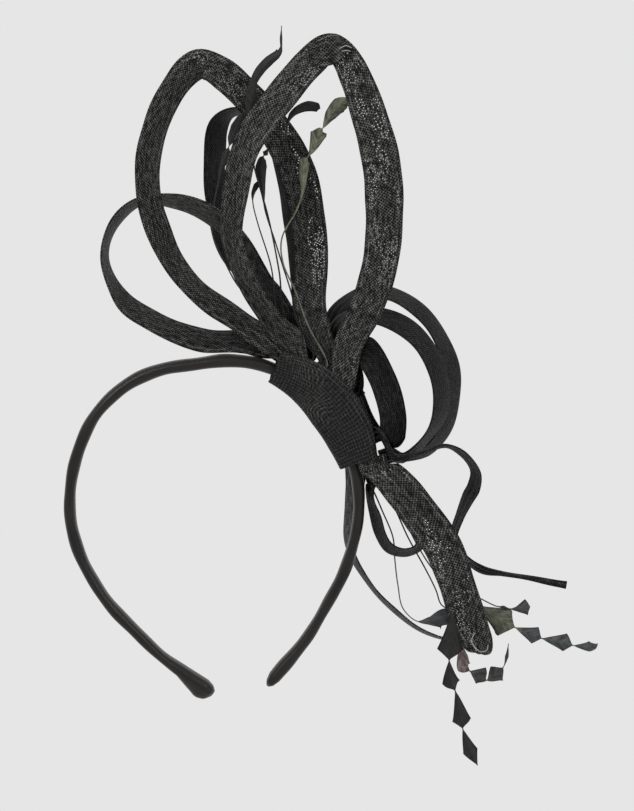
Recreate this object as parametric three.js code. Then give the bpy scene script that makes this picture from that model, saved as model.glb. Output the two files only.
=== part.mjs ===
// A fascinator: a satin covered headband with ribbon loops and cut feathers
// gathered on its right-hand side.
// Millimetres. +X to the right as seen from the front, +Y away from the front, +Z up.
// The origin is the inside top of the headband, where it sits on the crown of the head.
import * as THREE from 'three';

// Headband
const BAND_SPREAD = 134;
const BAND_DROP = 154;
const BAND_DEPTH = 10;
const BAND_THICKNESS = 5.4;

// Clearance between pieces that touch
const GAP = 0.3;
const SEAT_GAP = 0.45;

// Bundle of ribbon ends stitched to the outside of the band
const KNOT_FROM_CROWN = 39.3;
const KNOT_LENGTH = 62;
const HUB_FROM_CROWN = 54.8;
const HUB_RISE = 10.9;
const KNOT_THICKNESS = 9;
const KNOT_FRONT = 2.5;
const KNOT_BACK = 7;

// Sleeve of ribbon cloth folded round the band and the bundle
const WRAP_FROM_CROWN = 37;
const WRAP_LENGTH = 59;
const WRAP_REACH = 16.5;
const WRAP_INSIDE = 7.2;
const WRAP_WALL = 1;

// Ribbon cloth, and how far the loops stand in front of or behind the band
const RIBBON_WIDTH = 15;
const RIBBON_THICKNESS = 1;
const LOOP_DEPTH = 15;
const ROOT_LEAD = 5;

// Reach of each loop from the bundle
const TALL_FRONT_REACH = 160;
const TALL_LEFT_REACH = 160;
const LOW_LEFT_REACH = 110;
const SMALL_BACK_REACH = 130;
const INNER_RIGHT_REACH = 60;
const MIDDLE_ARC_REACH = 65;
const OUTER_ARC_REACH = 80;
const LOWER_WIDE_REACH = 150;
const LOWER_SMALL_REACH = 100;
const TAIL_REACH = 140;

// Reach of each feather from the bundle
const TALL_FEATHER_REACH = 160;
const TIP_FEATHER_REACH = 120;
const GREEN_FEATHER_REACH = 130;
const DARK_FEATHER_REACH = 110;
const SHORT_FEATHER_REACH = 80;
const LEFT_FEATHER_REACH = 130;
const RIGHT_FEATHER_REACH = 180;
const SMALL_FEATHER_REACH = 150;
const HANGING_FEATHER_REACH = 170;
const CURLED_FEATHER_REACH = 150;
const LOWER_FEATHER_REACH = 130;

// Feathers: quill and cut vanes
const QUILL_THICKNESS = 1.2;
const VANE_HALF_WIDTH = 6;
const VANE_EDGE = 0.25;

// Makes rows with named columns
function table(columns, rows) {
  return rows.map((row) => Object.fromEntries(columns.map((name, k) => [name, row[k]])));
}

// Half of the headband's centre line: across as a share of half the spread, down of the drop
const BAND_HALF = table(['across', 'down'], [
  [0, 0],
  [0.224, 0.002],
  [0.433, 0.025],
  [0.605, 0.067],
  [0.746, 0.122],
  [0.851, 0.191],
  [0.933, 0.269],
  [0.985, 0.355],
  [1, 0.428],
  [0.975, 0.519],
  [0.915, 0.6],
  [0.818, 0.689],
  [0.68, 0.774],
  [0.522, 0.863],
  [0.388, 0.921],
  [0.285, 0.961],
  [0.19, 1],
]);

// Width and thickness of the headband, from tip to tip
const BAND_PROFILE = table(['along', 'deep', 'thick'], [
  [0, 0.6, 0.7],
  [0.012, 1.1, 1.3],
  [0.03, 1.1, 1.25],
  [0.06, 1, 0.95],
  [0.5, 1, 1.05],
  [0.94, 1, 0.95],
  [0.97, 1.05, 1.15],
  [0.988, 1.05, 1.15],
  [1, 0.6, 0.7],
]);

// Thickness of the bundle and reach of the sleeve along the band
const KNOT_PROFILE = table(['along', 'thick'], [
  [0, 0.6],
  [0.25, 0.85],
  [0.5, 1],
  [0.8, 1.05],
  [1, 0.95],
]);
const WRAP_PROFILE = table(['along', 'reach', 'fold'], [
  [0, 0.62, 0.85],
  [0.3, 0.86, 1.1],
  [0.55, 0.96, 1.2],
  [0.8, 0.88, 1.1],
  [1, 0.7, 0.9],
]);

// Reads a column of a table at a share of the length
function profile(rows, key, along) {
  let k = 0;
  while (k < rows.length - 2 && along > rows[k + 1].along) {
    k += 1;
  }
  const a = rows[k];
  const b = rows[k + 1];
  const t = (along - a.along) / (b.along - a.along);
  return a[key] + (b[key] - a[key]) * t;
}

// The headband's centre line, from the left tip over the crown to the right tip
function bandCurve() {
  const point = (row, side) => new THREE.Vector3(
    side * row.across * BAND_SPREAD / 2, 0, BAND_THICKNESS / 2 - row.down * BAND_DROP);
  const left = BAND_HALF.map((row) => point(row, -1)).reverse();
  const right = BAND_HALF.slice(1).map((row) => point(row, 1));
  const curve = new THREE.CatmullRomCurve3([...left, ...right], false, 'centripetal');
  curve.arcLengthDivisions = 800;
  return curve;
}

const band = bandCurve();
const bandLength = band.getLength();

// A place beside the band: distance from the crown, height outwards from its centre line, depth
function beside(fromCrown, rise, depth) {
  const share = THREE.MathUtils.clamp(0.5 + fromCrown / bandLength, 0, 1);
  const at = band.getPointAt(share);
  const along = band.getTangentAt(share);
  const out = new THREE.Vector3(-along.z, 0, along.x);
  at.addScaledVector(out, rise);
  at.y = depth;
  return { at, along, out };
}

// Joins rings of corners into one closed body, and closes each end with quads across the ring
function loft(rings) {
  const count = rings[0].length;
  const positions = [];
  for (const ring of rings) {
    for (const corner of ring) {
      positions.push(corner.x, corner.y, corner.z);
    }
  }
  const index = [];
  for (let r = 0; r < rings.length - 1; r += 1) {
    for (let k = 0; k < count; k += 1) {
      const a = r * count + k;
      const b = r * count + (k + 1) % count;
      index.push(a, b, b + count, a, b + count, a + count);
    }
  }
  const last = (rings.length - 1) * count;
  for (let k = 0; k < count / 2 - 1; k += 1) {
    const a = k;
    const b = k + 1;
    const c = count - 2 - k;
    const d = count - 1 - k;
    index.push(a, c, b, a, d, c);
    index.push(last + a, last + b, last + c, last + a, last + c, last + d);
  }
  return closedGeometry(positions, index);
}

// Turns the faces outwards if the rings ran the other way
function closedGeometry(positions, index) {
  const corner = (k) => new THREE.Vector3().fromArray(positions, index[k] * 3);
  let volume = 0;
  for (let k = 0; k < index.length; k += 3) {
    volume += corner(k).dot(corner(k + 1).cross(corner(k + 2)));
  }
  if (volume < 0) {
    index.reverse();
  }
  const geometry = new THREE.BufferGeometry();
  geometry.setAttribute('position', new THREE.Float32BufferAttribute(positions, 3));
  geometry.setIndex(index);
  return geometry.toNonIndexed();
}

// The headband: an oval bar with flat inside, carried along the centre line
const BAND_STEPS = 72;
const BAND_CORNERS = table(['out', 'deep'], [
  [-0.5, -0.32],
  [-0.2, -0.5],
  [0.2, -0.5],
  [0.5, -0.22],
  [0.5, 0.22],
  [0.2, 0.5],
  [-0.2, 0.5],
  [-0.5, 0.32],
]);

function headbandGeometry() {
  const rings = [];
  for (let k = 0; k <= BAND_STEPS; k += 1) {
    const share = k / BAND_STEPS;
    const place = beside((share - 0.5) * bandLength, 0, 0);
    const deep = BAND_DEPTH * profile(BAND_PROFILE, 'deep', share);
    const thick = BAND_THICKNESS * profile(BAND_PROFILE, 'thick', share);
    rings.push(BAND_CORNERS.map((corner) => place.at.clone()
      .addScaledVector(place.out, corner.out * thick)
      .setY(corner.deep * deep)));
  }
  return loft(rings);
}

// The bundle sits on the outside of the band
const KNOT_STEPS = 10;
const knotFoot = BAND_THICKNESS * profile(BAND_PROFILE, 'thick', 0.5) / 2 + GAP;
const KNOT_BEVEL = 1.5;

function knotRise(along) {
  return knotFoot + KNOT_THICKNESS * profile(KNOT_PROFILE, 'thick', along);
}

function knotGeometry() {
  const rings = [];
  for (let k = 0; k <= KNOT_STEPS; k += 1) {
    const along = k / KNOT_STEPS;
    const fromCrown = KNOT_FROM_CROWN + along * KNOT_LENGTH;
    const top = knotRise(along);
    const corners = [
      [knotFoot, -KNOT_FRONT],
      [top - KNOT_BEVEL, -KNOT_FRONT],
      [top, KNOT_BEVEL - KNOT_FRONT],
      [top, KNOT_BACK - KNOT_BEVEL],
      [top - KNOT_BEVEL, KNOT_BACK],
      [knotFoot, KNOT_BACK],
    ];
    rings.push(corners.map(([rise, depth]) => beside(fromCrown, rise, depth).at));
  }
  return loft(rings);
}

// The sleeve: a strip folded round the inside of the band, open along its outer edge
const WRAP_STEPS = 12;
const WRAP_FOLD = table(['round', 'depth'], [
  [0, -1],
  [0.55, -1],
  [0.9, -0.8],
  [1, -0.45],
  [1, 0.45],
  [0.9, 0.8],
  [0.55, 1],
  [0.2, 1],
]);
const wrapHalfDepth = KNOT_BACK + GAP;

function wrapGeometry() {
  const rings = [];
  for (let k = 0; k <= WRAP_STEPS; k += 1) {
    const along = k / WRAP_STEPS;
    const fromCrown = WRAP_FROM_CROWN + along * WRAP_LENGTH;
    const reach = WRAP_REACH * profile(WRAP_PROFILE, 'reach', along);
    const fold = WRAP_INSIDE * profile(WRAP_PROFILE, 'fold', along);
    const line = (foot, half) => WRAP_FOLD.map((row) => {
      const rise = reach + row.round * (-foot - reach);
      return beside(fromCrown, rise, row.depth * half).at;
    });
    const outside = line(fold, wrapHalfDepth + WRAP_WALL);
    const inside = line(fold - WRAP_WALL, wrapHalfDepth).reverse();
    rings.push([...outside, ...inside]);
  }
  return loft(rings);
}

// Where a ribbon or quill starts: slipped in the pocket between the sleeve and the bundle,
// set on the bundle's outer face, or set on one of its ends
function pocket(along, rise, depth, wide, lead) {
  const place = beside(KNOT_FROM_CROWN + along * KNOT_LENGTH, knotFoot + rise * KNOT_THICKNESS, depth);
  const leadWay = lead === 'out' ? place.out : place.along.clone().multiplyScalar(lead === 'start' ? -1 : 1);
  const across = lead === 'out' ? place.along : place.out;
  return { at: place.at, lead: leadWay, across, wide };
}

function onFace(along, depth, wide) {
  const place = beside(KNOT_FROM_CROWN + along * KNOT_LENGTH, knotRise(along) + SEAT_GAP, depth);
  return { at: place.at, lead: place.out, across: place.along, wide };
}

function onEnd(which, rise, depth, wide) {
  const way = which === 'start' ? -1 : 1;
  const along = which === 'start' ? 0 : 1;
  const height = knotFoot + rise * KNOT_THICKNESS * profile(KNOT_PROFILE, 'thick', along);
  const place = beside(KNOT_FROM_CROWN + along * KNOT_LENGTH + way * SEAT_GAP, height, depth);
  return { at: place.at, lead: place.along.clone().multiplyScalar(way), across: place.out, wide };
}

// The bundle's own point from which the tables of loops and feathers are measured
const hub = beside(HUB_FROM_CROWN, HUB_RISE, 0).at;

// A way across a ribbon: lean is its angle in the plane of the band, turn its angle out of it
function acrossWay(lean, turn) {
  const a = THREE.MathUtils.degToRad(lean);
  const b = THREE.MathUtils.degToRad(turn);
  return new THREE.Vector3(Math.cos(a) * Math.cos(b), Math.sin(b), Math.sin(a) * Math.cos(b));
}

function placeOf(row, reach) {
  return new THREE.Vector3(hub.x + row.across * reach, row.depth * LOOP_DEPTH, hub.z + row.up * reach);
}

// The stations of a ribbon: centre, way across and width, with a short straight lead at each root
function stations(reach, rows, from, to) {
  const list = rows.map((row) => ({
    at: placeOf(row, reach), across: acrossWay(row.lean, row.turn), wide: row.wide }));
  const addRoot = (root, next, add) => {
    const sign = root.across.dot(next.across) < 0 ? -1 : 1;
    const across = root.across.clone().multiplyScalar(sign);
    const away = root.at.clone().addScaledVector(root.lead, ROOT_LEAD);
    add({ at: away, across, wide: root.wide });
    add({ at: root.at, across, wide: root.wide });
  };
  addRoot(from, list[0], (station) => list.unshift(station));
  if (to) {
    addRoot(to, list[list.length - 1], (station) => list.push(station));
  }
  return list;
}

// Carries a thin strip through the stations
const RIBBON_STEPS = 3;

function ribbonGeometry(reach, rows, from, to) {
  const list = stations(reach, rows, from, to);
  const path = new THREE.CatmullRomCurve3(list.map((s) => s.at), false, 'centripetal');
  const ways = new THREE.CatmullRomCurve3(list.map((s) => s.across), false, 'centripetal');
  const total = (list.length - 1) * RIBBON_STEPS;
  const rings = [];
  const normal = new THREE.Vector3();
  for (let k = 0; k <= total; k += 1) {
    const t = k / total;
    const segment = Math.min(Math.floor(k / RIBBON_STEPS), list.length - 2);
    const part = k / RIBBON_STEPS - segment;
    const wide = list[segment].wide + (list[segment + 1].wide - list[segment].wide) * part;
    const at = path.getPoint(t);
    const across = ways.getPoint(t).normalize();
    const face = new THREE.Vector3().crossVectors(path.getTangent(t), across).normalize();
    if (k > 0 && face.dot(normal) < 0) {
      face.negate();
    }
    normal.copy(face);
    const side = across.multiplyScalar(wide * RIBBON_WIDTH / 2);
    const half = face.multiplyScalar(RIBBON_THICKNESS / 2);
    rings.push([
      at.clone().add(side).add(half),
      at.clone().sub(side).add(half),
      at.clone().sub(side).sub(half),
      at.clone().add(side).sub(half),
    ]);
  }
  return loft(rings);
}

// A feather: a quill whose vanes are cut to a row of points, fused into one strip.
// left and right are shares of the vane's half width
const FEATHER_STEPS = 2;

function featherGeometry(reach, rows, from) {
  const list = rows.map((row) => ({
    at: placeOf(row, reach), left: row.left, right: row.right }));
  list.unshift({ at: from.at.clone().addScaledVector(from.lead, ROOT_LEAD), left: 0, right: 0 });
  list.unshift({ at: from.at, left: 0, right: 0 });
  const path = new THREE.CatmullRomCurve3(list.map((s) => s.at), false, 'centripetal');
  const total = (list.length - 1) * FEATHER_STEPS;
  const rings = [];
  const normal = new THREE.Vector3();
  const quill = QUILL_THICKNESS / 2;
  for (let k = 0; k <= total; k += 1) {
    const segment = Math.min(Math.floor(k / FEATHER_STEPS), list.length - 2);
    const part = k / FEATHER_STEPS - segment;
    const a = list[segment];
    const b = list[segment + 1];
    const left = Math.max(quill, (a.left + (b.left - a.left) * part) * VANE_HALF_WIDTH);
    const right = Math.max(quill, (a.right + (b.right - a.right) * part) * VANE_HALF_WIDTH);
    const at = path.getPoint(k / total);
    const way = path.getTangent(k / total);
    const across = new THREE.Vector3(-way.z, 0, way.x).normalize();
    if (k > 0 && across.dot(normal) < 0) {
      across.negate();
    }
    normal.copy(across);
    const face = new THREE.Vector3().crossVectors(way, across).normalize();
    const edge = new THREE.Vector3().copy(face).multiplyScalar(VANE_EDGE);
    rings.push([
      at.clone().addScaledVector(across, left).add(edge),
      at.clone().addScaledVector(face, quill),
      at.clone().addScaledVector(across, -right).add(edge),
      at.clone().addScaledVector(across, -right).sub(edge),
      at.clone().addScaledVector(face, -quill),
      at.clone().addScaledVector(across, left).sub(edge),
    ]);
  }
  return loft(rings);
}

// Materials: black ribbon cloth, black satin, cut feathers
const finish = (color, roughness) => new THREE.MeshStandardMaterial({ color, roughness, metalness: 0 });
const clothMaterial = () => finish(0x23211f, 0.85);
const satinMaterial = () => finish(0x2a2624, 0.45);
const featherMaterial = () => finish(0x2b2e28, 0.55);

const fascinator = new THREE.Group();

function add(name, geometry, material) {
  const mesh = new THREE.Mesh(geometry, material);
  mesh.name = name;
  fascinator.add(mesh);
}

add('headband', headbandGeometry(), satinMaterial());
add('ribbon_bundle', knotGeometry(), clothMaterial());
add('wrap', wrapGeometry(), clothMaterial());

// Layers of ribbon ends through the depth of the bundle
const FRONT_LAYER = -6.2;
const QUILL_LAYER = -4.7;
const SECOND_LAYER = -3.3;
const QUILL_BACK_LAYER = 6.3;

const RIBBON_COLUMNS = ['across', 'up', 'depth', 'lean', 'turn', 'wide'];

add('tall_front_loop', ribbonGeometry(TALL_FRONT_REACH, table(RIBBON_COLUMNS, [
  [-0.065, 0.095, -0.44, 222, 5, 0.72],
  [-0.11, 0.15, -0.6, 218, 38, 0.95],
  [-0.17, 0.28, -0.9, 205, 52, 1],
  [-0.2, 0.42, -1.1, 188, 48, 1],
  [-0.17, 0.56, -1.27, 172, 40, 1],
  [-0.12, 0.68, -1.33, 155, 30, 1],
  [-0.02, 0.79, -1.2, 145, 20, 1],
  [0.08, 0.88, -1.05, 138, 8, 0.96],
  [0.142, 0.918, -0.93, 112, 5, 0.86],
  [0.168, 0.905, -1.13, 60, 5, 0.86],
  [0.2, 0.84, -1.2, 35, 5, 0.98],
  [0.23, 0.71, -1.27, 18, 0, 1.1],
  [0.245, 0.59, -1.33, 6, 0, 1.14],
  [0.24, 0.47, -1.27, -3, 0, 1.16],
  [0.21, 0.31, -1.07, -15, 0, 1.08],
  [0.15, 0.17, -0.73, -25, 0, 1.02],
  [0.085, 0.07, -0.45, -30, 0, 0.9],
]), pocket(0.22, 0.45, FRONT_LAYER, 0.55, 'start'),
  pocket(0.39, 0.35, FRONT_LAYER, 0.95, 'out')), clothMaterial());

add('tall_left_loop', ribbonGeometry(TALL_LEFT_REACH, table(RIBBON_COLUMNS, [
  [-0.15, 0.115, -0.22, 228, -25, 0.75],
  [-0.22, 0.18, -0.22, 220, -52, 1],
  [-0.33, 0.29, -0.25, 222, -55, 1],
  [-0.39, 0.4, -0.27, 205, -50, 1],
  [-0.42, 0.54, -0.33, 188, -45, 1],
  [-0.41, 0.66, -0.33, 172, -45, 1],
  [-0.36, 0.79, -0.2, 155, -42, 1],
  [-0.29, 0.88, -0.07, 140, -35, 1],
  [-0.25, 0.91, -0.02, 125, -20, 0.95],
  [-0.215, 0.915, -0.15, 85, 10, 0.95],
  [-0.165, 0.88, 0, 60, 20, 1],
  [-0.115, 0.82, 0.13, 52, 10, 1],
  [-0.04, 0.7, 0.33, 35, 0, 1.05],
  [0.01, 0.56, 0.42, 18, 0, 1.1],
  [0.015, 0.35, 0.35, 2, 0, 1.05],
  [-0.01, 0.17, -0.08, 0, 0, 1],
]), pocket(0.1, 0.45, SECOND_LAYER, 0.45, 'start'),
  pocket(0.33, 0.35, SECOND_LAYER, 0.9, 'out')), clothMaterial());

add('low_left_loop', ribbonGeometry(LOW_LEFT_REACH, table(RIBBON_COLUMNS, [
  [-0.32, 0.16, 0.32, 255, -50, 0.9],
  [-0.48, 0.19, 0.33, 250, -52, 1],
  [-0.68, 0.3, 0.47, 238, -58, 1],
  [-0.79, 0.4, 0.53, 222, -66, 1],
  [-0.84, 0.57, 0.6, 180, -80, 1],
  [-0.78, 0.72, 0.6, 135, -75, 1],
  [-0.66, 0.8, 0.6, 105, -70, 1],
  [-0.51, 0.78, 0.6, 80, -60, 1],
  [-0.37, 0.7, 0.5, 58, -50, 1],
  [-0.26, 0.56, 0.42, 40, -50, 1],
  [-0.2, 0.41, 0.35, 30, -50, 1],
  [-0.1, 0.18, 0.28, 25, -22, 0.9],
]), onEnd('start', 0.62, 1, 0.33), onFace(0.12, 1, 0.5)), clothMaterial());

add('small_back_loop', ribbonGeometry(SMALL_BACK_REACH, table(RIBBON_COLUMNS, [
  [-0.15, 0.28, 1.35, 200, -45, 1],
  [-0.27, 0.45, 1.3, 200, -50, 1],
  [-0.29, 0.63, 1.4, 182, -50, 1],
  [-0.28, 0.79, 1.4, 168, -50, 1],
  [-0.25, 0.9, 1.35, 140, -55, 1],
  [-0.2, 0.94, 1.3, 105, -70, 1],
  [-0.13, 0.93, 1.3, 70, -75, 1],
  [-0.07, 0.87, 1.3, 45, -60, 1],
  [-0.04, 0.77, 1.3, 22, -50, 1],
  [-0.03, 0.6, 1.3, 6, -50, 1],
  [-0.03, 0.39, 1.25, 0, -50, 1],
  [-0.03, 0.18, 1, 0, -40, 0.9],
]), onFace(0.08, 5.6, 0.4), onFace(0.24, 5.6, 0.4)), clothMaterial());

add('inner_right_loop', ribbonGeometry(INNER_RIGHT_REACH, table(RIBBON_COLUMNS, [
  [0.34, 0.11, -0.05, 60, 30, 1],
  [0.45, -0.12, -0.1, 10, 35, 1],
  [0.49, -0.41, -0.1, -8, 35, 1],
  [0.47, -0.58, 0.02, -20, 40, 1],
  [0.465, -0.63, 0.12, -70, 60, 0.8],
  [0.39, -0.565, 0.07, -135, 72, 0.8],
  [0.31, -0.39, 0.22, -165, 75, 0.85],
  [0.25, -0.19, 0.25, -150, 70, 0.9],
]), onFace(0.46, 0, 0.5), onFace(0.48, 3, 0.4)), clothMaterial());

add('middle_right_arc', ribbonGeometry(MIDDLE_ARC_REACH, table(RIBBON_COLUMNS, [
  [0.13, 0.26, 0.25, 150, 60, 0.8],
  [0.23, 0.34, 0.3, 110, 70, 1],
  [0.47, 0.32, 0.35, 70, 65, 1],
  [0.7, 0.14, 0.4, 42, 58, 1],
  [0.81, -0.15, 0.42, 8, 58, 1],
  [0.79, -0.43, 0.52, -20, 62, 1],
  [0.65, -0.62, 0.6, -60, 68, 1],
  [0.5, -0.71, 0.62, -88, 65, 0.75],
]), onFace(0.34, 1, 0.4), onFace(0.93, 1, 0.4)), clothMaterial());

add('outer_right_arc', ribbonGeometry(OUTER_ARC_REACH, table(RIBBON_COLUMNS, [
  [0.1, 0.26, 1.2, 150, 60, 0.8],
  [0.26, 0.38, 1.35, 110, 70, 1],
  [0.43, 0.37, 1.45, 70, 72, 1],
  [0.61, 0.23, 1.5, 45, 68, 1],
  [0.73, -0.02, 1.55, 15, 62, 1],
  [0.74, -0.24, 1.55, -10, 58, 1],
  [0.66, -0.47, 1.62, -42, 60, 1],
  [0.54, -0.59, 1.7, -70, 65, 1],
  [0.4, -0.61, 1.6, -88, 65, 0.75],
]), onFace(0.38, 5.2, 0.4), onFace(0.95, 5.2, 0.4)), clothMaterial());

add('lower_wide_loop', ribbonGeometry(LOWER_WIDE_REACH, table(RIBBON_COLUMNS, [
  [0.15, -0.33, -0.5, 22, 0, 1.05],
  [0.2, -0.4, -0.55, 24, 0, 1.15],
  [0.248, -0.486, -0.6, 20, 0, 1.18],
  [0.296, -0.578, -0.8, 15, 0, 1.18],
  [0.32, -0.68, -0.87, 8, 0, 1.12],
  [0.34, -0.79, -0.87, 3, 0, 1.1],
  [0.36, -0.88, -0.8, 0, 12, 1],
  [0.365, -0.925, -0.65, -25, 45, 0.9],
  [0.34, -0.9, -0.4, -70, 65, 1],
  [0.24, -0.87, 0.05, -105, 75, 1],
  [0.17, -0.83, 0.33, -115, 75, 1],
  [0.11, -0.77, 0.53, -130, 75, 1],
  [0.06, -0.7, 0.7, -145, 75, 1],
  [0.02, -0.61, 0.85, -165, 78, 1],
  [0.01, -0.54, 0.9, -178, 74, 1],
  [0.035, -0.44, 0.88, -180, 64, 1],
  [0.055, -0.36, 0.98, -180, 54, 1],
  [0.06, -0.3, 1.02, -180, 50, 0.9],
]), pocket(0.9, 0.66, FRONT_LAYER, 0.9, 'end'), null), clothMaterial());

add('lower_small_loop', ribbonGeometry(LOWER_SMALL_REACH, table(RIBBON_COLUMNS, [
  [0.15, -0.56, 0, 175, 65, 0.7],
  [0.14, -0.62, 0.05, 180, 75, 0.9],
  [0.15, -0.7, 0.05, 195, 72, 1],
  [0.165, -0.79, 0, 215, 68, 1],
  [0.2, -0.86, -0.05, 240, 62, 1],
  [0.27, -0.89, -0.05, 270, 65, 1],
  [0.335, -0.87, 0, 310, 70, 1],
  [0.35, -0.8, 0.1, 350, 72, 1],
  [0.3, -0.67, 0.2, 375, 70, 0.9],
  [0.24, -0.58, 0.25, 390, 65, 0.6],
]), onEnd('end', 0.48, -0.3, 0.36), onEnd('end', 0.6, 2.6, 0.4)), clothMaterial());

add('tail', ribbonGeometry(TAIL_REACH, table(RIBBON_COLUMNS, [
  [0.195, -0.3, -0.8, 262, 60, 0.6],
  [0.23, -0.305, -0.8, 270, 70, 0.7],
  [0.3, -0.3, -0.8, 272, 75, 0.8],
  [0.37, -0.29, -0.8, 265, 78, 0.9],
  [0.42, -0.32, -0.78, 230, 72, 0.9],
  [0.455, -0.385, -0.67, 190, 70, 0.9],
  [0.445, -0.44, -0.5, 160, 70, 0.9],
  [0.42, -0.48, -0.3, 145, 72, 0.9],
  [0.385, -0.54, -0.05, 150, 78, 0.9],
  [0.36, -0.6, 0.1, 180, 80, 0.9],
  [0.37, -0.655, 0.15, 215, 76, 0.9],
  [0.4, -0.7, 0.05, 245, 70, 0.9],
  [0.44, -0.73, 0, 255, 66, 0.8],
  [0.5, -0.75, 0, 258, 70, 0.75],
  [0.59, -0.78, 0, 255, 74, 0.6],
  [0.705, -0.82, 0, 255, 80, 0.28],
]), pocket(0.77, 0.9, FRONT_LAYER, 0.5, 'out'), null), clothMaterial());

const FEATHER_COLUMNS = ['across', 'up', 'depth', 'left', 'right'];

add('tall_feather', featherGeometry(TALL_FEATHER_REACH, table(FEATHER_COLUMNS, [
  [-0.082, 0.164, -0.4, 0, 0],
  [-0.082, 0.311, -0.72, 0, 0],
  [-0.092, 0.47, -0.72, 0, 0],
  [-0.112, 0.616, -0.72, 0, 0],
  [-0.114, 0.733, -0.72, 0, 0],
  [-0.095, 0.787, -0.72, 0.46, 0.61],
  [-0.089, 0.821, -0.72, 0.31, 0.46],
  [-0.08, 0.848, -0.72, 0.26, 0.31],
  [-0.06, 0.876, -0.72, 0.34, 0.38],
  [-0.031, 0.9, -0.72, 0.35, 0.4],
  [-0.004, 0.915, -0.72, 0.26, 0.35],
  [0.007, 0.921, -0.72, 0.08, 0.42],
  [0.01, 0.937, -0.72, 0.08, 0.08],
  [0.013, 0.962, -0.72, 0.1, 0.1],
  [0.019, 0.995, -0.72, 0, 0],
]), pocket(0.15, 0.75, QUILL_LAYER, 0, 'out')), featherMaterial());

add('tip_feather', featherGeometry(TIP_FEATHER_REACH, table(FEATHER_COLUMNS, [
  [-0.004, 0.203, -0.36, 0, 0],
  [-0.028, 0.478, -0.5, 0, 0],
  [-0.019, 0.745, -0.5, 0, 0],
  [-0.009, 0.941, -0.5, 0, 0],
  [0.016, 0.987, -0.5, 0.19, 0.23],
  [0.046, 1.006, -0.5, 0.31, 0.32],
  [0.084, 1.012, -0.5, 0.37, 0.43],
  [0.118, 1.004, -0.5, 0.35, 0.34],
  [0.128, 0.999, -0.5, 0, 0],
]), pocket(0.29, 0.75, QUILL_LAYER, 0, 'out')), featherMaterial());

add('green_feather', featherGeometry(GREEN_FEATHER_REACH, table(FEATHER_COLUMNS, [
  [-0.027, 0.173, -0.36, 0, 0],
  [-0.055, 0.304, -0.6, 0, 0],
  [-0.084, 0.408, -0.6, 0, 0],
  [-0.076, 0.492, -0.6, 0, 0],
  [-0.012, 0.582, -0.6, 0, 0],
  [0.017, 0.641, -0.6, 0.12, 0.12],
  [0.028, 0.696, -0.6, 0.31, 0.35],
  [0.039, 0.747, -0.6, 0.46, 0.42],
  [0.051, 0.76, -0.6, 0, 0],
  [0.076, 0.788, -0.6, 0.23, 0.35],
  [0.1, 0.834, -0.6, 0.61, 0.65],
  [0.108, 0.849, -0.6, 0.54, 0.23],
  [0.116, 0.853, -0.6, 0, 0],
  [0.15, 0.894, -0.6, 0.43, 0.46],
  [0.185, 0.924, -0.6, 0.61, 0.61],
  [0.211, 0.929, -0.6, 0.38, 0.43],
  [0.224, 0.926, -0.6, 0, 0],
]), pocket(0.245, 0.75, QUILL_LAYER, 0, 'out')), featherMaterial());

add('dark_feather', featherGeometry(DARK_FEATHER_REACH, table(FEATHER_COLUMNS, [
  [-0.075, 0.23, -0.32, 0, 0],
  [-0.081, 0.338, -0.4, 0, 0],
  [-0.104, 0.476, -0.4, 0, 0],
  [-0.12, 0.57, -0.4, 0, 0],
  [-0.144, 0.711, -0.4, 0, 0],
  [-0.142, 0.778, -0.4, 0.17, 0.18],
  [-0.14, 0.836, -0.4, 0.32, 0.38],
  [-0.136, 0.885, -0.4, 0.46, 0.42],
  [-0.127, 0.917, -0.4, 0.31, 0.23],
  [-0.119, 0.927, -0.4, 0, 0],
  [-0.11, 0.936, -0.4, 0.23, 0.26],
  [-0.097, 0.955, -0.4, 0, 0],
]), pocket(0.2, 0.75, QUILL_LAYER, 0, 'out')), featherMaterial());

add('short_feather', featherGeometry(SHORT_FEATHER_REACH, table(FEATHER_COLUMNS, [
  [-0.201, 0.273, -0.3, 0, 0],
  [-0.208, 0.475, -0.27, 0, 0],
  [-0.208, 0.643, -0.27, 0, 0],
  [-0.25, 0.902, -0.27, 0, 0],
  [-0.261, 1.013, -0.27, 0, 0],
  [-0.253, 1.069, -0.27, 0.14, 0.14],
  [-0.227, 1.112, -0.27, 0.23, 0.23],
  [-0.199, 1.148, -0.27, 0, 0],
]), pocket(0.1, 0.75, QUILL_LAYER, 0, 'out')), featherMaterial());

add('left_feather', featherGeometry(LEFT_FEATHER_REACH, table(FEATHER_COLUMNS, [
  [-0.171, 0.162, -0.22, 0, 0],
  [-0.2, 0.261, -0.1, 0, 0],
  [-0.256, 0.347, -0.08, 0, 0],
  [-0.287, 0.429, -0.07, 0, 0],
  [-0.314, 0.518, -0.05, 0, 0],
  [-0.315, 0.574, 0.02, 0, 0],
  [-0.301, 0.629, 0.02, 0, 0],
  [-0.276, 0.7, 0.02, 0, 0],
  [-0.254, 0.758, 0.02, 0.19, 0.23],
  [-0.23, 0.804, 0.02, 0.38, 0.38],
  [-0.218, 0.83, 0.02, 0, 0],
  [-0.205, 0.857, 0.02, 0.38, 0.31],
  [-0.182, 0.893, 0.02, 0.61, 0.46],
  [-0.164, 0.922, 0.02, 0.46, 0.31],
  [-0.151, 0.941, 0.02, 0, 0],
]), pocket(0, 0.75, QUILL_LAYER, 0, 'out')), featherMaterial());

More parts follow.
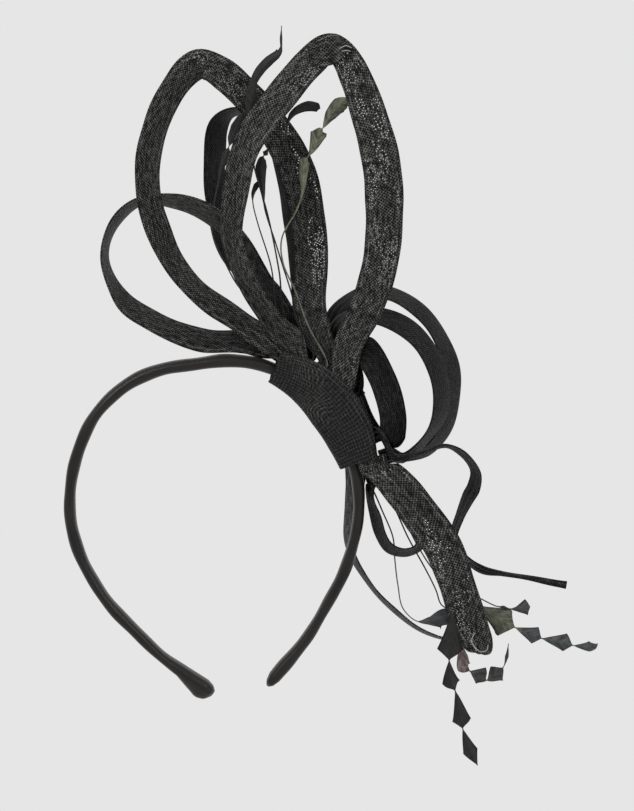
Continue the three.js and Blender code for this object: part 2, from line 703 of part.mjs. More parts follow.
add('right_feather', featherGeometry(RIGHT_FEATHER_REACH, table(FEATHER_COLUMNS, [
  [0.118, -0.321, 0.64, 0, 0],
  [0.147, -0.382, 0.75, 0, 0],
  [0.178, -0.479, 0.75, 0, 0],
  [0.208, -0.547, 0.6, 0, 0],
  [0.251, -0.608, 0.2, 0, 0],
  [0.298, -0.65, -0.2, 0, 0],
  [0.336, -0.674, -0.2, 0.38, 0.38],
  [0.377, -0.704, -0.2, 1.23, 1.07],
  [0.385, -0.711, -0.2, 1.3, 0.77],
  [0.404, -0.725, -0.2, 0, 0],
  [0.452, -0.754, -0.2, 0.69, 0.73],
  [0.469, -0.763, -0.2, 0, 0],
  [0.526, -0.784, -0.2, 0.65, 0.75],
  [0.546, -0.792, -0.2, 0, 0],
  [0.587, -0.803, -0.2, 0.35, 0.5],
  [0.601, -0.801, -0.2, 0.27, 0.25],
  [0.611, -0.796, -0.2, 0, 0],
]), onEnd('end', 0.55, QUILL_BACK_LAYER, 0)), featherMaterial());

add('small_feather', featherGeometry(SMALL_FEATHER_REACH, table(FEATHER_COLUMNS, [
  [0.166, -0.388, 0.6, 0, 0],
  [0.188, -0.459, 0.72, 0, 0],
  [0.229, -0.577, 0.74, 0, 0],
  [0.273, -0.669, 0.6, 0, 0],
  [0.333, -0.736, 0.35, 0, 0],
  [0.39, -0.773, 0.2, 0, 0],
  [0.44, -0.804, 0.13, 0, 0],
  [0.459, -0.807, 0.13, 0.23, 0.08],
  [0.476, -0.816, 0.13, 0, 0],
  [0.498, -0.82, 0.13, 0.19, 0.19],
  [0.529, -0.818, 0.13, 0.69, 0.61],
  [0.541, -0.818, 0.13, 0, 0],
]), onEnd('end', 0.85, 4.6, 0)), featherMaterial());

add('hanging_feather', featherGeometry(HANGING_FEATHER_REACH, table(FEATHER_COLUMNS, [
  [0.109, -0.34, 0.8, 0, 0],
  [0.142, -0.406, 0.98, 0, 0],
  [0.171, -0.5, 0.98, 0, 0],
  [0.206, -0.58, 0.25, 0, 0],
  [0.227, -0.63, -0.6, 0, 0],
  [0.235, -0.662, -1, 0, 0],
  [0.257, -0.686, -1.13, 0, 0],
  [0.243, -0.787, -1.13, 1, 1.04],
  [0.237, -0.816, -1.13, 0, 0],
  [0.234, -0.878, -1.13, 0.69, 0.71],
  [0.242, -0.902, -1.13, 0, 0],
  [0.249, -0.986, -1.13, 0.73, 0.74],
  [0.249, -1.009, -1.13, 0, 0],
  [0.262, -1.075, -1.13, 0.6, 0.58],
  [0.276, -1.116, -1.13, 0, 0],
]), onEnd('end', 0.36, QUILL_BACK_LAYER, 0)), featherMaterial());

add('curled_feather', featherGeometry(CURLED_FEATHER_REACH, table(FEATHER_COLUMNS, [
  [0.184, -0.405, 1.1, 0, 0],
  [0.201, -0.469, 1.15, 0, 0],
  [0.242, -0.586, 1.12, 0, 0],
  [0.275, -0.713, 0.85, 0, 0],
  [0.297, -0.819, 0.4, 0, 0],
  [0.313, -0.905, 0.4, 0, 0],
  [0.313, -0.953, 0.4, 0.42, 0.42],
  [0.313, -0.988, 0.4, 0.54, 0.61],
  [0.33, -1.002, 0.4, 0, 0],
  [0.36, -1.025, 0.4, 0.69, 0.84],
  [0.378, -1.038, 0.4, 0, 0],
  [0.41, -1.02, 0.4, 0.88, 0.69],
  [0.434, -1.004, 0.4, 0, 0],
  [0.45, -0.971, 0.4, 0.14, 0.15],
  [0.46, -0.931, 0.4, 0, 0],
]), onEnd('end', 0.88, QUILL_BACK_LAYER, 0)), featherMaterial());

add('lower_feather', featherGeometry(LOWER_FEATHER_REACH, table(FEATHER_COLUMNS, [
  [0.122, -0.459, 0.55, 0, 0],
  [0.144, -0.538, 0.7, 0, 0],
  [0.17, -0.641, 0.7, 0, 0],
  [0.166, -0.721, 0.5, 0, 0],
  [0.165, -0.799, -0.1, 0, 0],
  [0.172, -0.874, -0.53, 0, 0],
  [0.214, -0.924, -0.6, 0, 0],
  [0.263, -0.93, -0.6, 0.38, 0.35],
  [0.309, -0.933, -0.6, 0.81, 0.92],
  [0.328, -0.952, -0.6, 0, 0],
]), onEnd('end', 0.12, QUILL_BACK_LAYER, 0)), featherMaterial());

export default fascinator;
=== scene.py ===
import math
import bmesh
import bpy
import numpy as np
from mathutils import Matrix


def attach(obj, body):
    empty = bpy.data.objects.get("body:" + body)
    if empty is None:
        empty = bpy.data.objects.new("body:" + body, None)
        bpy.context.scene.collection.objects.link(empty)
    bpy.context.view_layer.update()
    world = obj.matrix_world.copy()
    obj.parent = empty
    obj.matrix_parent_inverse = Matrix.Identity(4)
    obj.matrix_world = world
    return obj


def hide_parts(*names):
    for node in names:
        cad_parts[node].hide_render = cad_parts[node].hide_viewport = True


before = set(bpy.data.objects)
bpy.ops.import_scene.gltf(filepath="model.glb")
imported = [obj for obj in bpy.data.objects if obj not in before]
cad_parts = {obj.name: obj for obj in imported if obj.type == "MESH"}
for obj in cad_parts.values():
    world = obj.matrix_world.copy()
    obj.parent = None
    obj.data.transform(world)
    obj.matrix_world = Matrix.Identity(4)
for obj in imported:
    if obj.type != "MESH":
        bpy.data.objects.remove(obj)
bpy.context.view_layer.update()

# Headband: a sprung strip covered lengthwise with black satin ribbon, seam on the inside.
# It thickens at its two tips, and at the left one the satin's end is folded into a flare.
BAND_SPREAD = 0.134
BAND_DROP = 0.154
BAND_DEPTH = 0.010
BAND_THICKNESS = 0.0054
FLARE = 0.0034
# The satin's own near-black, and the colour of its painted sheen
SATIN_DARK = (0.0040, 0.0031, 0.0028)
SATIN_SHEEN = (0.021, 0.018, 0.015)
# Half of the centre line: across as a share of half the spread, down as a share of the drop
HALF_BAND = np.array([
    (0, 0), (0.224, 0.002), (0.433, 0.025), (0.605, 0.067), (0.746, 0.122), (0.851, 0.191),
    (0.933, 0.269), (0.985, 0.355), (1, 0.428), (0.975, 0.519), (0.915, 0.6), (0.818, 0.689),
    (0.68, 0.774), (0.522, 0.863), (0.388, 0.921), (0.285, 0.961), (0.19, 1),
])
# Shares of the band's width and thickness, from the left tip to the right one
BAND_ALONG = (0, 0.004, 0.012, 0.03, 0.06, 0.5, 0.94, 0.97, 0.988, 0.996, 1)
BAND_DEEP = (0.35, 0.85, 1.08, 1.1, 1, 1, 1, 1.05, 1.05, 0.85, 0.35)
BAND_THICK = (0.35, 0.85, 1.15, 1.1, 0.95, 1.08, 0.95, 1.12, 1.15, 0.85, 0.35)
FLARE_ALONG = (0, 0.006, 0.016, 0.03, 0.044)
FLARE_SHARE = (0.35, 0.85, 1, 0.55, 0)


def smooth(points, at):
    """Points of the smooth curve through the given ones; at counts in points, so 2.5 lies between
    the third and the fourth. Each stretch is the cubic with end slopes taken from its neighbours,
    and a stretch weighs by the square root of its length."""
    points = np.asarray(points, float)
    chain = np.vstack([2 * points[:1] - points[1:2], points, 2 * points[-1:] - points[-2:-1]])
    k = np.clip(np.floor(at).astype(int), 0, len(points) - 2)
    w = (at - k)[:, None]
    a, b, c, d = (chain[k + j] for j in range(4))
    span = [np.linalg.norm(q - p, axis=1)[:, None] ** 0.5 for p, q in ((a, b), (b, c), (c, d))]
    mid = np.where(span[1] < 1e-5, 1, span[1])
    first = np.where(span[0] < 1e-5, mid, span[0])
    last = np.where(span[2] < 1e-5, mid, span[2])
    slope_b = mid * ((b - a) / first - (c - a) / (first + mid) + (c - b) / mid)
    slope_c = mid * ((c - b) / mid - (d - b) / (mid + last) + (d - c) / last)
    return (b + slope_b * w + (3 * (c - b) - 2 * slope_b - slope_c) * w ** 2
            + (2 * (b - c) + slope_b + slope_c) * w ** 3)


def band_line():
    """The band's centre line, its two halves mirrored, and the length up to each of its points."""
    x = HALF_BAND[:, 0] * BAND_SPREAD / 2
    z = BAND_THICKNESS / 2 - HALF_BAND[:, 1] * BAND_DROP
    right = np.stack([x, 0 * x, z], axis=1)
    left = right[:0:-1] * (-1, 1, 1)
    stations = np.vstack([left, right])
    line = smooth(stations, np.linspace(0, len(stations) - 1, 3201))
    steps = np.linalg.norm(np.diff(line, axis=0), axis=1)
    return line, np.concatenate([[0], np.cumsum(steps)])


band_points, band_lengths = band_line()
BAND_LENGTH = band_lengths[-1]


def along_band(place):
    """The centre line's point at a length from the left tip."""
    return np.stack([np.interp(place, band_lengths, band_points[:, k]) for k in range(3)], axis=-1)


def beside(from_crown, rise, depth):
    """A place beside the band, with the ways along and out of it there: centre line + rise times the
    way out, at that depth."""
    place = BAND_LENGTH / 2 + np.asarray(from_crown, float)
    low = np.clip(place - 0.0005, 0, BAND_LENGTH - 0.001)
    along = along_band(low + 0.001) - along_band(low)
    along = along / np.linalg.norm(along, axis=-1, keepdims=True)
    out = np.stack([-along[..., 2], 0 * along[..., 0], along[..., 0]], axis=-1)
    at = along_band(place) + np.asarray(rise, float)[..., None] * out
    at[..., 1] = depth
    return at, along, out


def surface(name, grid, uv, tube=False):
    """A mesh over rows of points. Each square joins two neighbours of a row to those of the next
    row. A tube's rows are rings, closed with a face at both ends, and face outwards."""
    rows, columns = grid.shape[:2]
    index = np.arange(rows * columns).reshape(rows, columns)
    near = np.hstack([index, index[:, :1]]) if tube else index
    squares = np.stack([near[:-1, :-1], near[:-1, 1:], near[1:, 1:], near[1:, :-1]], axis=-1)
    corners = np.stack([uv[:-1, :-1], uv[:-1, 1:], uv[1:, 1:], uv[1:, :-1]], axis=-2).reshape(-1, 2)
    faces = squares.reshape(-1, 4).tolist()
    if tube:
        faces += [index[0, ::-1].tolist(), index[-1].tolist()]
        corners = np.vstack([corners, uv[0, :columns][::-1], uv[-1, :columns]])
    mesh = bpy.data.meshes.new(name)
    mesh.from_pydata(grid.reshape(-1, 3).tolist(), [], faces)
    mesh.uv_layers.new(name="UVMap").data.foreach_set("uv", corners.ravel())
    if tube:
        shell = bmesh.new()
        shell.from_mesh(mesh)
        bmesh.ops.recalc_face_normals(shell, faces=shell.faces)
        shell.to_mesh(mesh)
        shell.free()
    mesh.shade_smooth()
    piece = bpy.data.objects.new(name, mesh)
    bpy.context.scene.collection.objects.link(piece)
    return piece


class Flow:
    """What flows out of one socket of a material's nodes. Sums, products and the like of such
    values add Math nodes."""

    def __init__(self, tree, socket):
        self.tree = tree
        self.socket = socket

    def node(self, kind, settings, sockets, out=0):
        """Adds a node of that kind: its settings first, a ramp's stops among them as pairs of place
        and colour, then the values or links of its sockets."""
        made = self.tree.nodes.new(kind)
        for name, value in settings.items():
            if name == "stops":
                for stop, (place, colour) in zip(made.color_ramp.elements, value):
                    stop.position = place
                    stop.color = (*colour, 1)
            else:
                setattr(made, name, value)
        for name, value in sockets.items():
            if isinstance(value, Flow):
                self.tree.links.new(value.socket, made.inputs[name])
            else:
                made.inputs[name].default_value = value
        return Flow(self.tree, made.outputs[out])

    def maths(self, operation, *others):
        """Adds a Math node of that operation on this value and the others."""
        values = dict(enumerate((self, *others)))
        return self.node("ShaderNodeMath", {"operation": operation}, values)

    def __add__(self, other):
        return self.maths("ADD", other)

    def __sub__(self, other):
        return self.maths("SUBTRACT", other)

    def __rsub__(self, other):
        return self.node("ShaderNodeMath", {"operation": "SUBTRACT"}, {0: other, 1: self})

    def __mul__(self, other):
        return self.maths("MULTIPLY", other)

    def __truediv__(self, other):
        return self.maths("DIVIDE", other)

    __radd__ = __add__
    __rmul__ = __mul__


def new_finish(name, **constants):
    """A material with its shader, the two parts of the piece's own map, and constants set on the
    shader's sockets."""
    finish = bpy.data.materials.new(name)
    finish.use_nodes = True
    tree = finish.node_tree
    shader = tree.nodes["Principled BSDF"]
    for socket, value in constants.items():
        shader.inputs[socket.replace("_", " ")].default_value = value
    chart = Flow(tree, tree.nodes.new("ShaderNodeUVMap").outputs[0])
    u = chart.node("ShaderNodeSeparateXYZ", {}, {0: chart}, 0)
    v = chart.node("ShaderNodeSeparateXYZ", {}, {0: chart}, 1)
    return finish, shader, u, v


def mixed(amount, dark, light):
    """A colour between two, by an amount from 0 to 1."""
    return amount.node("ShaderNodeMix", {"data_type": "RGBA", "clamp_factor": True},
                       {0: amount, 6: (*dark, 1), 7: (*light, 1)}, 2)


def patchy(u, v, across, along, detail=2.0):
    """Soft noise from 0 to 1, read at u and v in millimetres over the sizes of its patches."""
    spot = u.node("ShaderNodeCombineXYZ", {}, {0: u / across, 1: v / along})
    return u.node("ShaderNodeTexNoise", {"noise_dimensions": "2D"},
                  {"Vector": spot, "Scale": 1.0, "Detail": detail, "Roughness": 0.55})


def satin_finish():
    """Satin drawn lengthwise: painted sheen in streaks much longer than they are wide, light over
    the dark satin.
    """
    finish, shader, u, v = new_finish("black_satin", Specular_IOR_Level=0.27, Sheen_Weight=0.05,
                                      Sheen_Roughness=0.4)
    streaks = patchy(u, v, 1.1, 34.0, 3.0)
    blotches = patchy(u, v, 9.0, 15.0)
    # Painted sheen: the streaks and broad blotches lighten the satin towards its sheen colour.
    bright = (streaks * 0.75 + blotches * 0.5 - 0.28) * 1.35
    fine = patchy(u, v, 0.25, 5.0, 1.0)
    relief = u.node("ShaderNodeBump", {}, {"Strength": 0.35, "Distance": 0.0004,
                                           "Height": streaks * 1.2 + fine * 0.25})
    links = finish.node_tree.links
    links.new(mixed(bright, SATIN_DARK, SATIN_SHEEN).socket, shader.inputs["Base Color"])
    links.new((fine * 0.16 + 0.3).socket, shader.inputs["Roughness"])
    links.new(relief.socket, shader.inputs["Normal"])
    return finish


def flattened(wave, power):
    """A sine or cosine with its sign kept and its size raised to a power below 1, so that an oval
    drawn with it fills out towards a box."""
    return np.sign(wave) * np.abs(wave) ** power


def headband():
    """An oval carried along the centre line. Its corner angle runs round; rise and depth are a
    flattened sine and cosine of it, and the flare adds to what lies on the outer side."""
    rows, ring = 420, 40
    share = np.linspace(0, 1, rows)
    angle = np.linspace(0, 2 * np.pi, ring, endpoint=False)
    thick = np.interp(share, BAND_ALONG, BAND_THICK) * BAND_THICKNESS / 2
    deep = np.interp(share, BAND_ALONG, BAND_DEEP) * BAND_DEPTH / 2
    flare = np.interp(share, FLARE_ALONG, FLARE_SHARE) * FLARE
    sway = 0.00012 * np.sin(share * 61) + 0.0001 * np.sin(share * 143 + 1)
    out = flattened(np.sin(angle), 0.8)
    rise = (thick + sway)[:, None] * out + flare[:, None] * np.clip(out, 0, 1) ** 2
    crease = flare[:, None] * 0.22 * np.exp(-((out - 0.35) / 0.16) ** 2)
    front = flattened(np.cos(angle), 0.75)
    depth = (deep[:, None] + crease) * front
    grid = beside((share[:, None] - 0.5) * BAND_LENGTH, rise, depth)[0]
    u = np.linspace(0, 30, ring + 1)[None, :] + 0 * share[:, None]
    v = share[:, None] * BAND_LENGTH * 1000 + 0 * u
    return surface("satin_headband", grid, np.stack([u, v], axis=-1), tube=True)


band = headband()
satin = satin_finish()
band.data.materials.append(satin)
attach(band, "root")
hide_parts("headband")

# Ribbon ends: the loops' ends are gathered and stitched in layers to the outside of the band.
# They are the same stiff open cloth as the loops, so their edges run along the band as ridges.
KNOT_FROM_CROWN = 0.0393
KNOT_LENGTH = 0.062
KNOT_THICKNESS = 0.009
KNOT_FRONT = 0.0025
KNOT_BACK = 0.007
KNOT_CORNER = 0.45
KNOT_INSET = 0.0004
GAP = 0.0003
SEAT_GAP = 0.00045
KNOT_ALONG = (0, 0.25, 0.5, 0.8, 1)
KNOT_THICK = (0.6, 0.85, 1, 1.05, 0.95)
# The foot lies on the plain band: half of its thickness there, which is a share of the full one
BAND_UNDER_KNOT = 1.05
KNOT_FOOT = BAND_THICKNESS * BAND_UNDER_KNOT / 2 + GAP
THREAD_DARK = (0.0016, 0.0015, 0.0014)
# Painted glint colours of the threads: full, and dimmer as painted shade for pieces in shade
THREAD_GLINT = (0.19, 0.187, 0.175)
THREAD_GLINT_IN_SHADE = (0.05, 0.049, 0.046)
# In millimetres, as the map of a piece is: where the hem begins from the middle of a ribbon, the
# spacing of the threads in its front and back layer, and that of the pulled lines across it; then
# the turn between the layers in radians
HEM_FROM = 6.0
FRONT_PITCH = 1.06
BACK_PITCH = 1.0
PULL_PITCH = 2.3
LAYER_TURN = 0.3
# How high the threads' wave stands where a thread ends, and where an opening shows light
THREAD_EDGE = 0.55
OPEN_BELOW = 0.34


def counted(u, v, turn, pitch):
    """The place counted in pitches along the two ways that cross at right angles, turned by that
    angle from the ribbon's length."""
    cos, sin = math.cos(turn) / pitch, math.sin(turn) / pitch
    return u * cos + v * sin, v * cos - u * sin


def threads(u, v, turn, pitch):
    """Two sets of threads: for each of the two ways a wave up and down over each pitch, 1 along a
    thread's middle."""
    first, second = counted(u, v, turn, pitch)
    return first.maths("PINGPONG", 0.5) * 2, second.maths("PINGPONG", 0.5) * 2


def opening_chance(u, v, turn, pitch):
    """A number from 0 to 1 drawn for each opening between the threads, by its rounded count."""
    first, second = counted(u, v, turn, pitch)
    place = u.node("ShaderNodeCombineXYZ", {}, {0: first.maths("ROUND"), 1: second.maths("ROUND")})
    return u.node("ShaderNodeTexWhiteNoise", {"noise_dimensions": "2D"}, {"Vector": place})


def cloth_finish(name, turn, light, leaks):
    """Open cloth in two layers, near black, with painted glints on the threads. Between the front
    threads the back ones show, with fainter painted glints. Light comes through an opening where
    its chance is under a share that grows in soft patches, away from the hems. Fine lines run
    across in places, where the bias cloth is pulled, with painted highlights along them, and a
    painted highlight follows the fold line along each edge."""
    finish, shader, u, v = new_finish(name, Specular_IOR_Level=0.1)
    wander = patchy(u, v, 13.0, 17.0)
    first, second = threads(u, v, turn, FRONT_PITCH)
    chance = opening_chance(u, v, turn, FRONT_PITCH)
    back = threads(u + wander * 2.6, v - wander * 3.4, turn + LAYER_TURN, BACK_PITCH)
    top = first.maths("MAXIMUM", second)
    hole = top.maths("LESS_THAN", THREAD_EDGE)
    from_middle = u.maths("ABSOLUTE")
    hem = from_middle.maths("GREATER_THAN", HEM_FROM)
    fold = 1 - ((from_middle - (HEM_FROM - 0.25)).maths("ABSOLUTE") * 3.0).maths("MINIMUM", 1)
    patch = patchy(u, v, 7.0, 19.0)
    share = ((patch * 4.4 - 2.05) * leaks).maths("MINIMUM", 0.55)
    through = top.maths("LESS_THAN", OPEN_BELOW) * chance.maths("LESS_THAN", share) * (1 - hem)
    pulled = ((v + u * u * 0.05 + wander * 7.0) / PULL_PITCH).maths("PINGPONG", 0.5) * 2
    lines = pulled.maths("POWER", 5.0) * (patchy(u, v, 30.0, 26.0) * 4.0 - 2.0).maths("MAXIMUM", 0)
    behind = back[0].maths("MAXIMUM", back[1]) * hole
    height = top * (1 - hole) + behind * 0.4
    # Painted glints: the thread tops are lightened in small patches.
    glint = (patchy(u, v, 1.1, 3.8, 2.0) * 3.3 - 1.08).maths("MAXIMUM", 0.08)
    soft = patchy(u, v, 10.0, 24.0) * 0.9 + 0.5
    # Colour: painted glints on the threads, a painted highlight on the fold and the pulled lines.
    bright = height.maths("POWER", 5.0) * glint * soft + fold * glint * 0.5 + lines * 0.3
    relief = u.node("ShaderNodeBump", {}, {"Strength": 0.7, "Distance": 0.0003,
                                           "Height": height + fold * 0.6 + lines * 0.4})
    links = finish.node_tree.links
    # The light colour is that of the painted glints, full or dimmer as painted shade.
    links.new(mixed(bright, THREAD_DARK, light).socket, shader.inputs["Base Color"])
    links.new((0.72 - height * 0.3).socket, shader.inputs["Roughness"])
    links.new(relief.socket, shader.inputs["Normal"])
    links.new((1 - through).socket, shader.inputs["Alpha"])
    return finish


def knot():
    """A bar bent along the band. Its ring goes up the front, over the top and down the back, and
    the top and both sides swell and sink by a sine, as the edges of stacked layers do."""
    rows, ring = 90, 72
    share = np.linspace(0, 1, rows)[:, None]
    top = KNOT_FOOT + KNOT_THICKNESS * np.interp(share, KNOT_ALONG, KNOT_THICK)
    angle = np.linspace(0, 2 * np.pi, ring, endpoint=False)[None, :]
    ridge = 0.0003 * np.sin(angle * 13 + 3 * np.sin(share * 5)) * np.sin(share * np.pi) ** 0.3
    middle, half = (KNOT_BACK - KNOT_FRONT) / 2, (KNOT_BACK + KNOT_FRONT) / 2 - KNOT_INSET
    tall = (top - KNOT_FOOT) / 2 - KNOT_INSET
    rise = (top + KNOT_FOOT) / 2 + (tall + ridge) * flattened(np.sin(angle), KNOT_CORNER)
    depth = middle + (half + ridge) * flattened(np.cos(angle), KNOT_CORNER)
    grid = beside(KNOT_FROM_CROWN + share * KNOT_LENGTH + 0 * angle, rise, depth)[0]
    u = np.linspace(-18, 18, ring + 1)[None, :] + 0 * share
    v = share * KNOT_LENGTH * 1000 + 0 * u
    return surface("gathered_ends", grid, np.stack([u, v], axis=-1), tube=True)


gathered = knot()
# The gathered ends get dimmer painted glints, as painted shade within the wrap, and no openings.
gathered.data.materials.append(cloth_finish("gathered_cloth", 0.7, THREAD_GLINT_IN_SHADE, 0))
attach(gathered, "root")
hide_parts("ribbon_bundle")

# Wrap: a straight cut of the same cloth folded round the inside of the band and up both sides of
# the ribbon ends, with its edges hemmed and left open at the outside. Its back edge is lower.
WRAP_FROM_CROWN = 0.037
WRAP_LENGTH = 0.059
WRAP_REACH = 0.0165
WRAP_INSIDE = 0.0072
WRAP_WALL = 0.001
WRAP_ALONG = (0, 0.3, 0.55, 0.8, 1)
WRAP_REACHES = (0.62, 0.86, 0.96, 0.88, 0.7)
WRAP_FOLDS = (0.85, 1.1, 1.2, 1.1, 0.9)
WRAP_CLOTH = 0.0006
WRAP_PITCH = 1.62
WRAP_BACK_PITCH = 1.3
# Painted glint colour of the wrap's threads
WRAP_GLINT = (0.088, 0.087, 0.082)
# How far round from the front edge to the fold, and the depth as a share of half the fold's depth
WRAP_ROUND = np.array([
    (0, -1), (0.25, -1.03), (0.55, -1), (0.9, -0.8), (1, -0.45),
    (1, 0.45), (0.9, 0.8), (0.55, 1), (0.2, 1),
])


def wrap_sheet():
    """The fold's outline carried along the band: rise runs from the edge's reach to the fold's foot
    by the share round, and the front is pushed out a little near its edge by the hem."""
    rows, columns = 150, 110
    share = np.linspace(0, 1, rows)[:, None]
    step = np.linspace(0, len(WRAP_ROUND) - 1, columns)
    outline = smooth(WRAP_ROUND, step)
    reach = WRAP_REACH * np.interp(share, WRAP_ALONG, WRAP_REACHES)
    foot = (WRAP_INSIDE - WRAP_WALL / 2) * np.interp(share, WRAP_ALONG, WRAP_FOLDS)
    rise = reach - outline[None, :, 0] * (foot + reach)
    half = KNOT_BACK + GAP + WRAP_WALL / 2
    hem = 0.0005 * np.exp(-((rise - reach + 0.0014) / 0.0011) ** 2) * (outline[None, :, 1] < 0)
    soft = 0.00022 * np.sin(share * 9 + rise * 420) + 0.00016 * np.sin(share * 23 - rise * 300)
    depth = outline[None, :, 1] * half - hem + soft
    fray = 0.0003 * np.sin(step * 2.1) * (2 * share - 1)
    grid = beside(WRAP_FROM_CROWN + share * WRAP_LENGTH + fray, rise, depth)[0]
    around = np.linalg.norm(np.diff(grid[rows // 2], axis=0), axis=1)
    u = np.concatenate([[0], np.cumsum(around)])[None, :] * 1000 + 0 * share
    v = share * WRAP_LENGTH * 1000 + 0 * u
    size = (float(around.sum()), WRAP_LENGTH)
    return surface("folded_wrap", grid, np.stack([u, v], axis=-1)), size


def wrap_finish():
    """One open layer seen over another: threads nearly square to the edges, with painted glints,
    over dark, a second set that bends, so that arcs come and go where they meet, and a painted
    highlight on the fold line along the front edge, both uneven in small patches."""
    finish, shader, u, v = new_finish("wrap_cloth", Specular_IOR_Level=0.2)
    bend = patchy(u, v, 24.0, 30.0, 1.0)
    first, second = threads(u + bend * 5.0, v + bend * 3.0, 0.1, WRAP_PITCH)
    behind = threads(u - bend * 14.0, v + bend * 16.0, 0.35, WRAP_BACK_PITCH)[1]
    lines = first.maths("MAXIMUM", second).maths("POWER", 5.0)
    arcs = behind.maths("POWER", 4.0) * (bend * 4.0 - 1.4).maths("MAXIMUM", 0.1)
    fold = 1 - ((u - 3.1).maths("ABSOLUTE") * 2.6).maths("MINIMUM", 1)
    uneven_glint = patchy(u, v, 1.3, 2.2, 2.0)
    # Painted glints on the threads and arcs, and a painted highlight on the front fold line.
    bright = (lines * 0.46 + arcs * 0.75) * (uneven_glint * 2.6 - 0.45) + fold * uneven_glint * 0.5
    relief = u.node("ShaderNodeBump", {}, {"Strength": 0.7, "Distance": 0.0003,
                                           "Height": lines + arcs * 0.6 + fold * 0.8})
    links = finish.node_tree.links
    links.new(mixed(bright, THREAD_DARK, WRAP_GLINT).socket, shader.inputs["Base Color"])
    links.new((0.8 - lines * 0.3).socket, shader.inputs["Roughness"])
    links.new(relief.socket, shader.inputs["Normal"])
    return finish


def as_cloth(piece, thickness):
    """Gives a sheet its thickness, half to each side."""
    wall = piece.modifiers.new("thickness", "SOLIDIFY")
    wall.thickness = thickness
    wall.offset = 0


wrap, wrap_size = wrap_sheet()
wrap.data.materials.append(wrap_finish())
as_cloth(wrap, WRAP_CLOTH)
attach(wrap, "root")
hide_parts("wrap")

# Tall loops: two lengths of bias ribbon, each doubled and hemmed at both edges, that stand up from
# the wrap. Each is pinched into a point where it turns back; both ends go into the wrap.
RIBBON_WIDTH = 0.015
RIBBON_CLOTH = 0.0006
RIBBON_COLUMNS = 25
RIBBON_FINE = 14
BIAS_TURN = math.radians(38)
LOOP_DEPTH = 0.015
ROOT_LEAD = 0.005
TALL_FRONT_REACH = 0.160
TALL_LEFT_REACH = 0.160
HUB_FROM_CROWN = 0.0548
HUB_RISE = 0.0109
FRONT_LAYER = -0.0062
SECOND_LAYER = -0.0033
HUB = beside(HUB_FROM_CROWN, HUB_RISE, 0)[0]
# Columns: across, up (shares of the reach from the hub), depth (share of the loop depth),
# lean (angle of the ribbon's width in the band's plane), turn (its angle out of it), width share
TALL_FRONT = (
    (-0.065, 0.095, -0.44, 222, 5, 0.72), (-0.11, 0.15, -0.6, 218, 38, 0.95),
    (-0.17, 0.28, -0.9, 205, 52, 1), (-0.2, 0.42, -1.1, 188, 48, 1),
    (-0.17, 0.56, -1.27, 172, 40, 1), (-0.12, 0.68, -1.33, 155, 30, 1),
    (-0.02, 0.79, -1.2, 145, 20, 1), (0.08, 0.88, -1.05, 138, 8, 0.96),
    (0.142, 0.918, -0.93, 112, 5, 0.86), (0.168, 0.905, -1.13, 60, 5, 0.86),
    (0.2, 0.84, -1.2, 35, 5, 0.98), (0.23, 0.71, -1.27, 18, 0, 1.1),
    (0.245, 0.59, -1.33, 6, 0, 1.14), (0.24, 0.47, -1.27, -3, 0, 1.16),
    (0.21, 0.31, -1.07, -15, 0, 1.08), (0.15, 0.17, -0.73, -25, 0, 1.02),
    (0.085, 0.07, -0.45, -30, 0, 0.9),
)
TALL_LEFT = (
    (-0.15, 0.115, -0.22, 228, -25, 0.75), (-0.22, 0.18, -0.22, 220, -52, 1),
    (-0.33, 0.29, -0.25, 222, -55, 1), (-0.39, 0.4, -0.27, 205, -50, 1),
    (-0.42, 0.54, -0.33, 188, -45, 1), (-0.41, 0.66, -0.33, 172, -45, 1),
    (-0.36, 0.79, -0.2, 155, -42, 1), (-0.29, 0.88, -0.07, 140, -35, 1),
    (-0.25, 0.91, -0.02, 125, -20, 0.95), (-0.215, 0.915, -0.15, 85, 10, 0.95),
    (-0.165, 0.88, 0, 60, 20, 1), (-0.115, 0.82, 0.13, 52, 10, 1),
    (-0.04, 0.7, 0.33, 35, 0, 1.05), (0.01, 0.56, 0.42, 18, 0, 1.1),
    (0.015, 0.35, 0.35, 2, 0, 1.05), (-0.01, 0.17, -0.08, 0, 0, 1),
)


def pocket(along, rise, depth, wide, lead):
    """A root between the wrap and the ribbon ends: place, way it leaves, way across, width share."""
    height = KNOT_FOOT + rise * KNOT_THICKNESS
    at, way, out = beside(KNOT_FROM_CROWN + along * KNOT_LENGTH, height, depth)
    if lead == "out":
        return at, out, way, wide
    return at, -way if lead == "start" else way, out, wide


def on_face(along, depth, wide):
    """A root on the outer face of the ribbon ends."""
    rise = KNOT_FOOT + KNOT_THICKNESS * np.interp(along, KNOT_ALONG, KNOT_THICK) + SEAT_GAP
    at, way, out = beside(KNOT_FROM_CROWN + along * KNOT_LENGTH, rise, depth)
    return at, out, way, wide


def on_end(which, rise, depth, wide):
    """A root on the first or the last end of the ribbon ends."""
    along, side = (0, -1) if which == "start" else (1, 1)
    height = KNOT_FOOT + rise * KNOT_THICKNESS * np.interp(along, KNOT_ALONG, KNOT_THICK)
    at, way, out = beside(KNOT_FROM_CROWN + along * KNOT_LENGTH + side * SEAT_GAP, height, depth)
    return at, side * way, out, wide


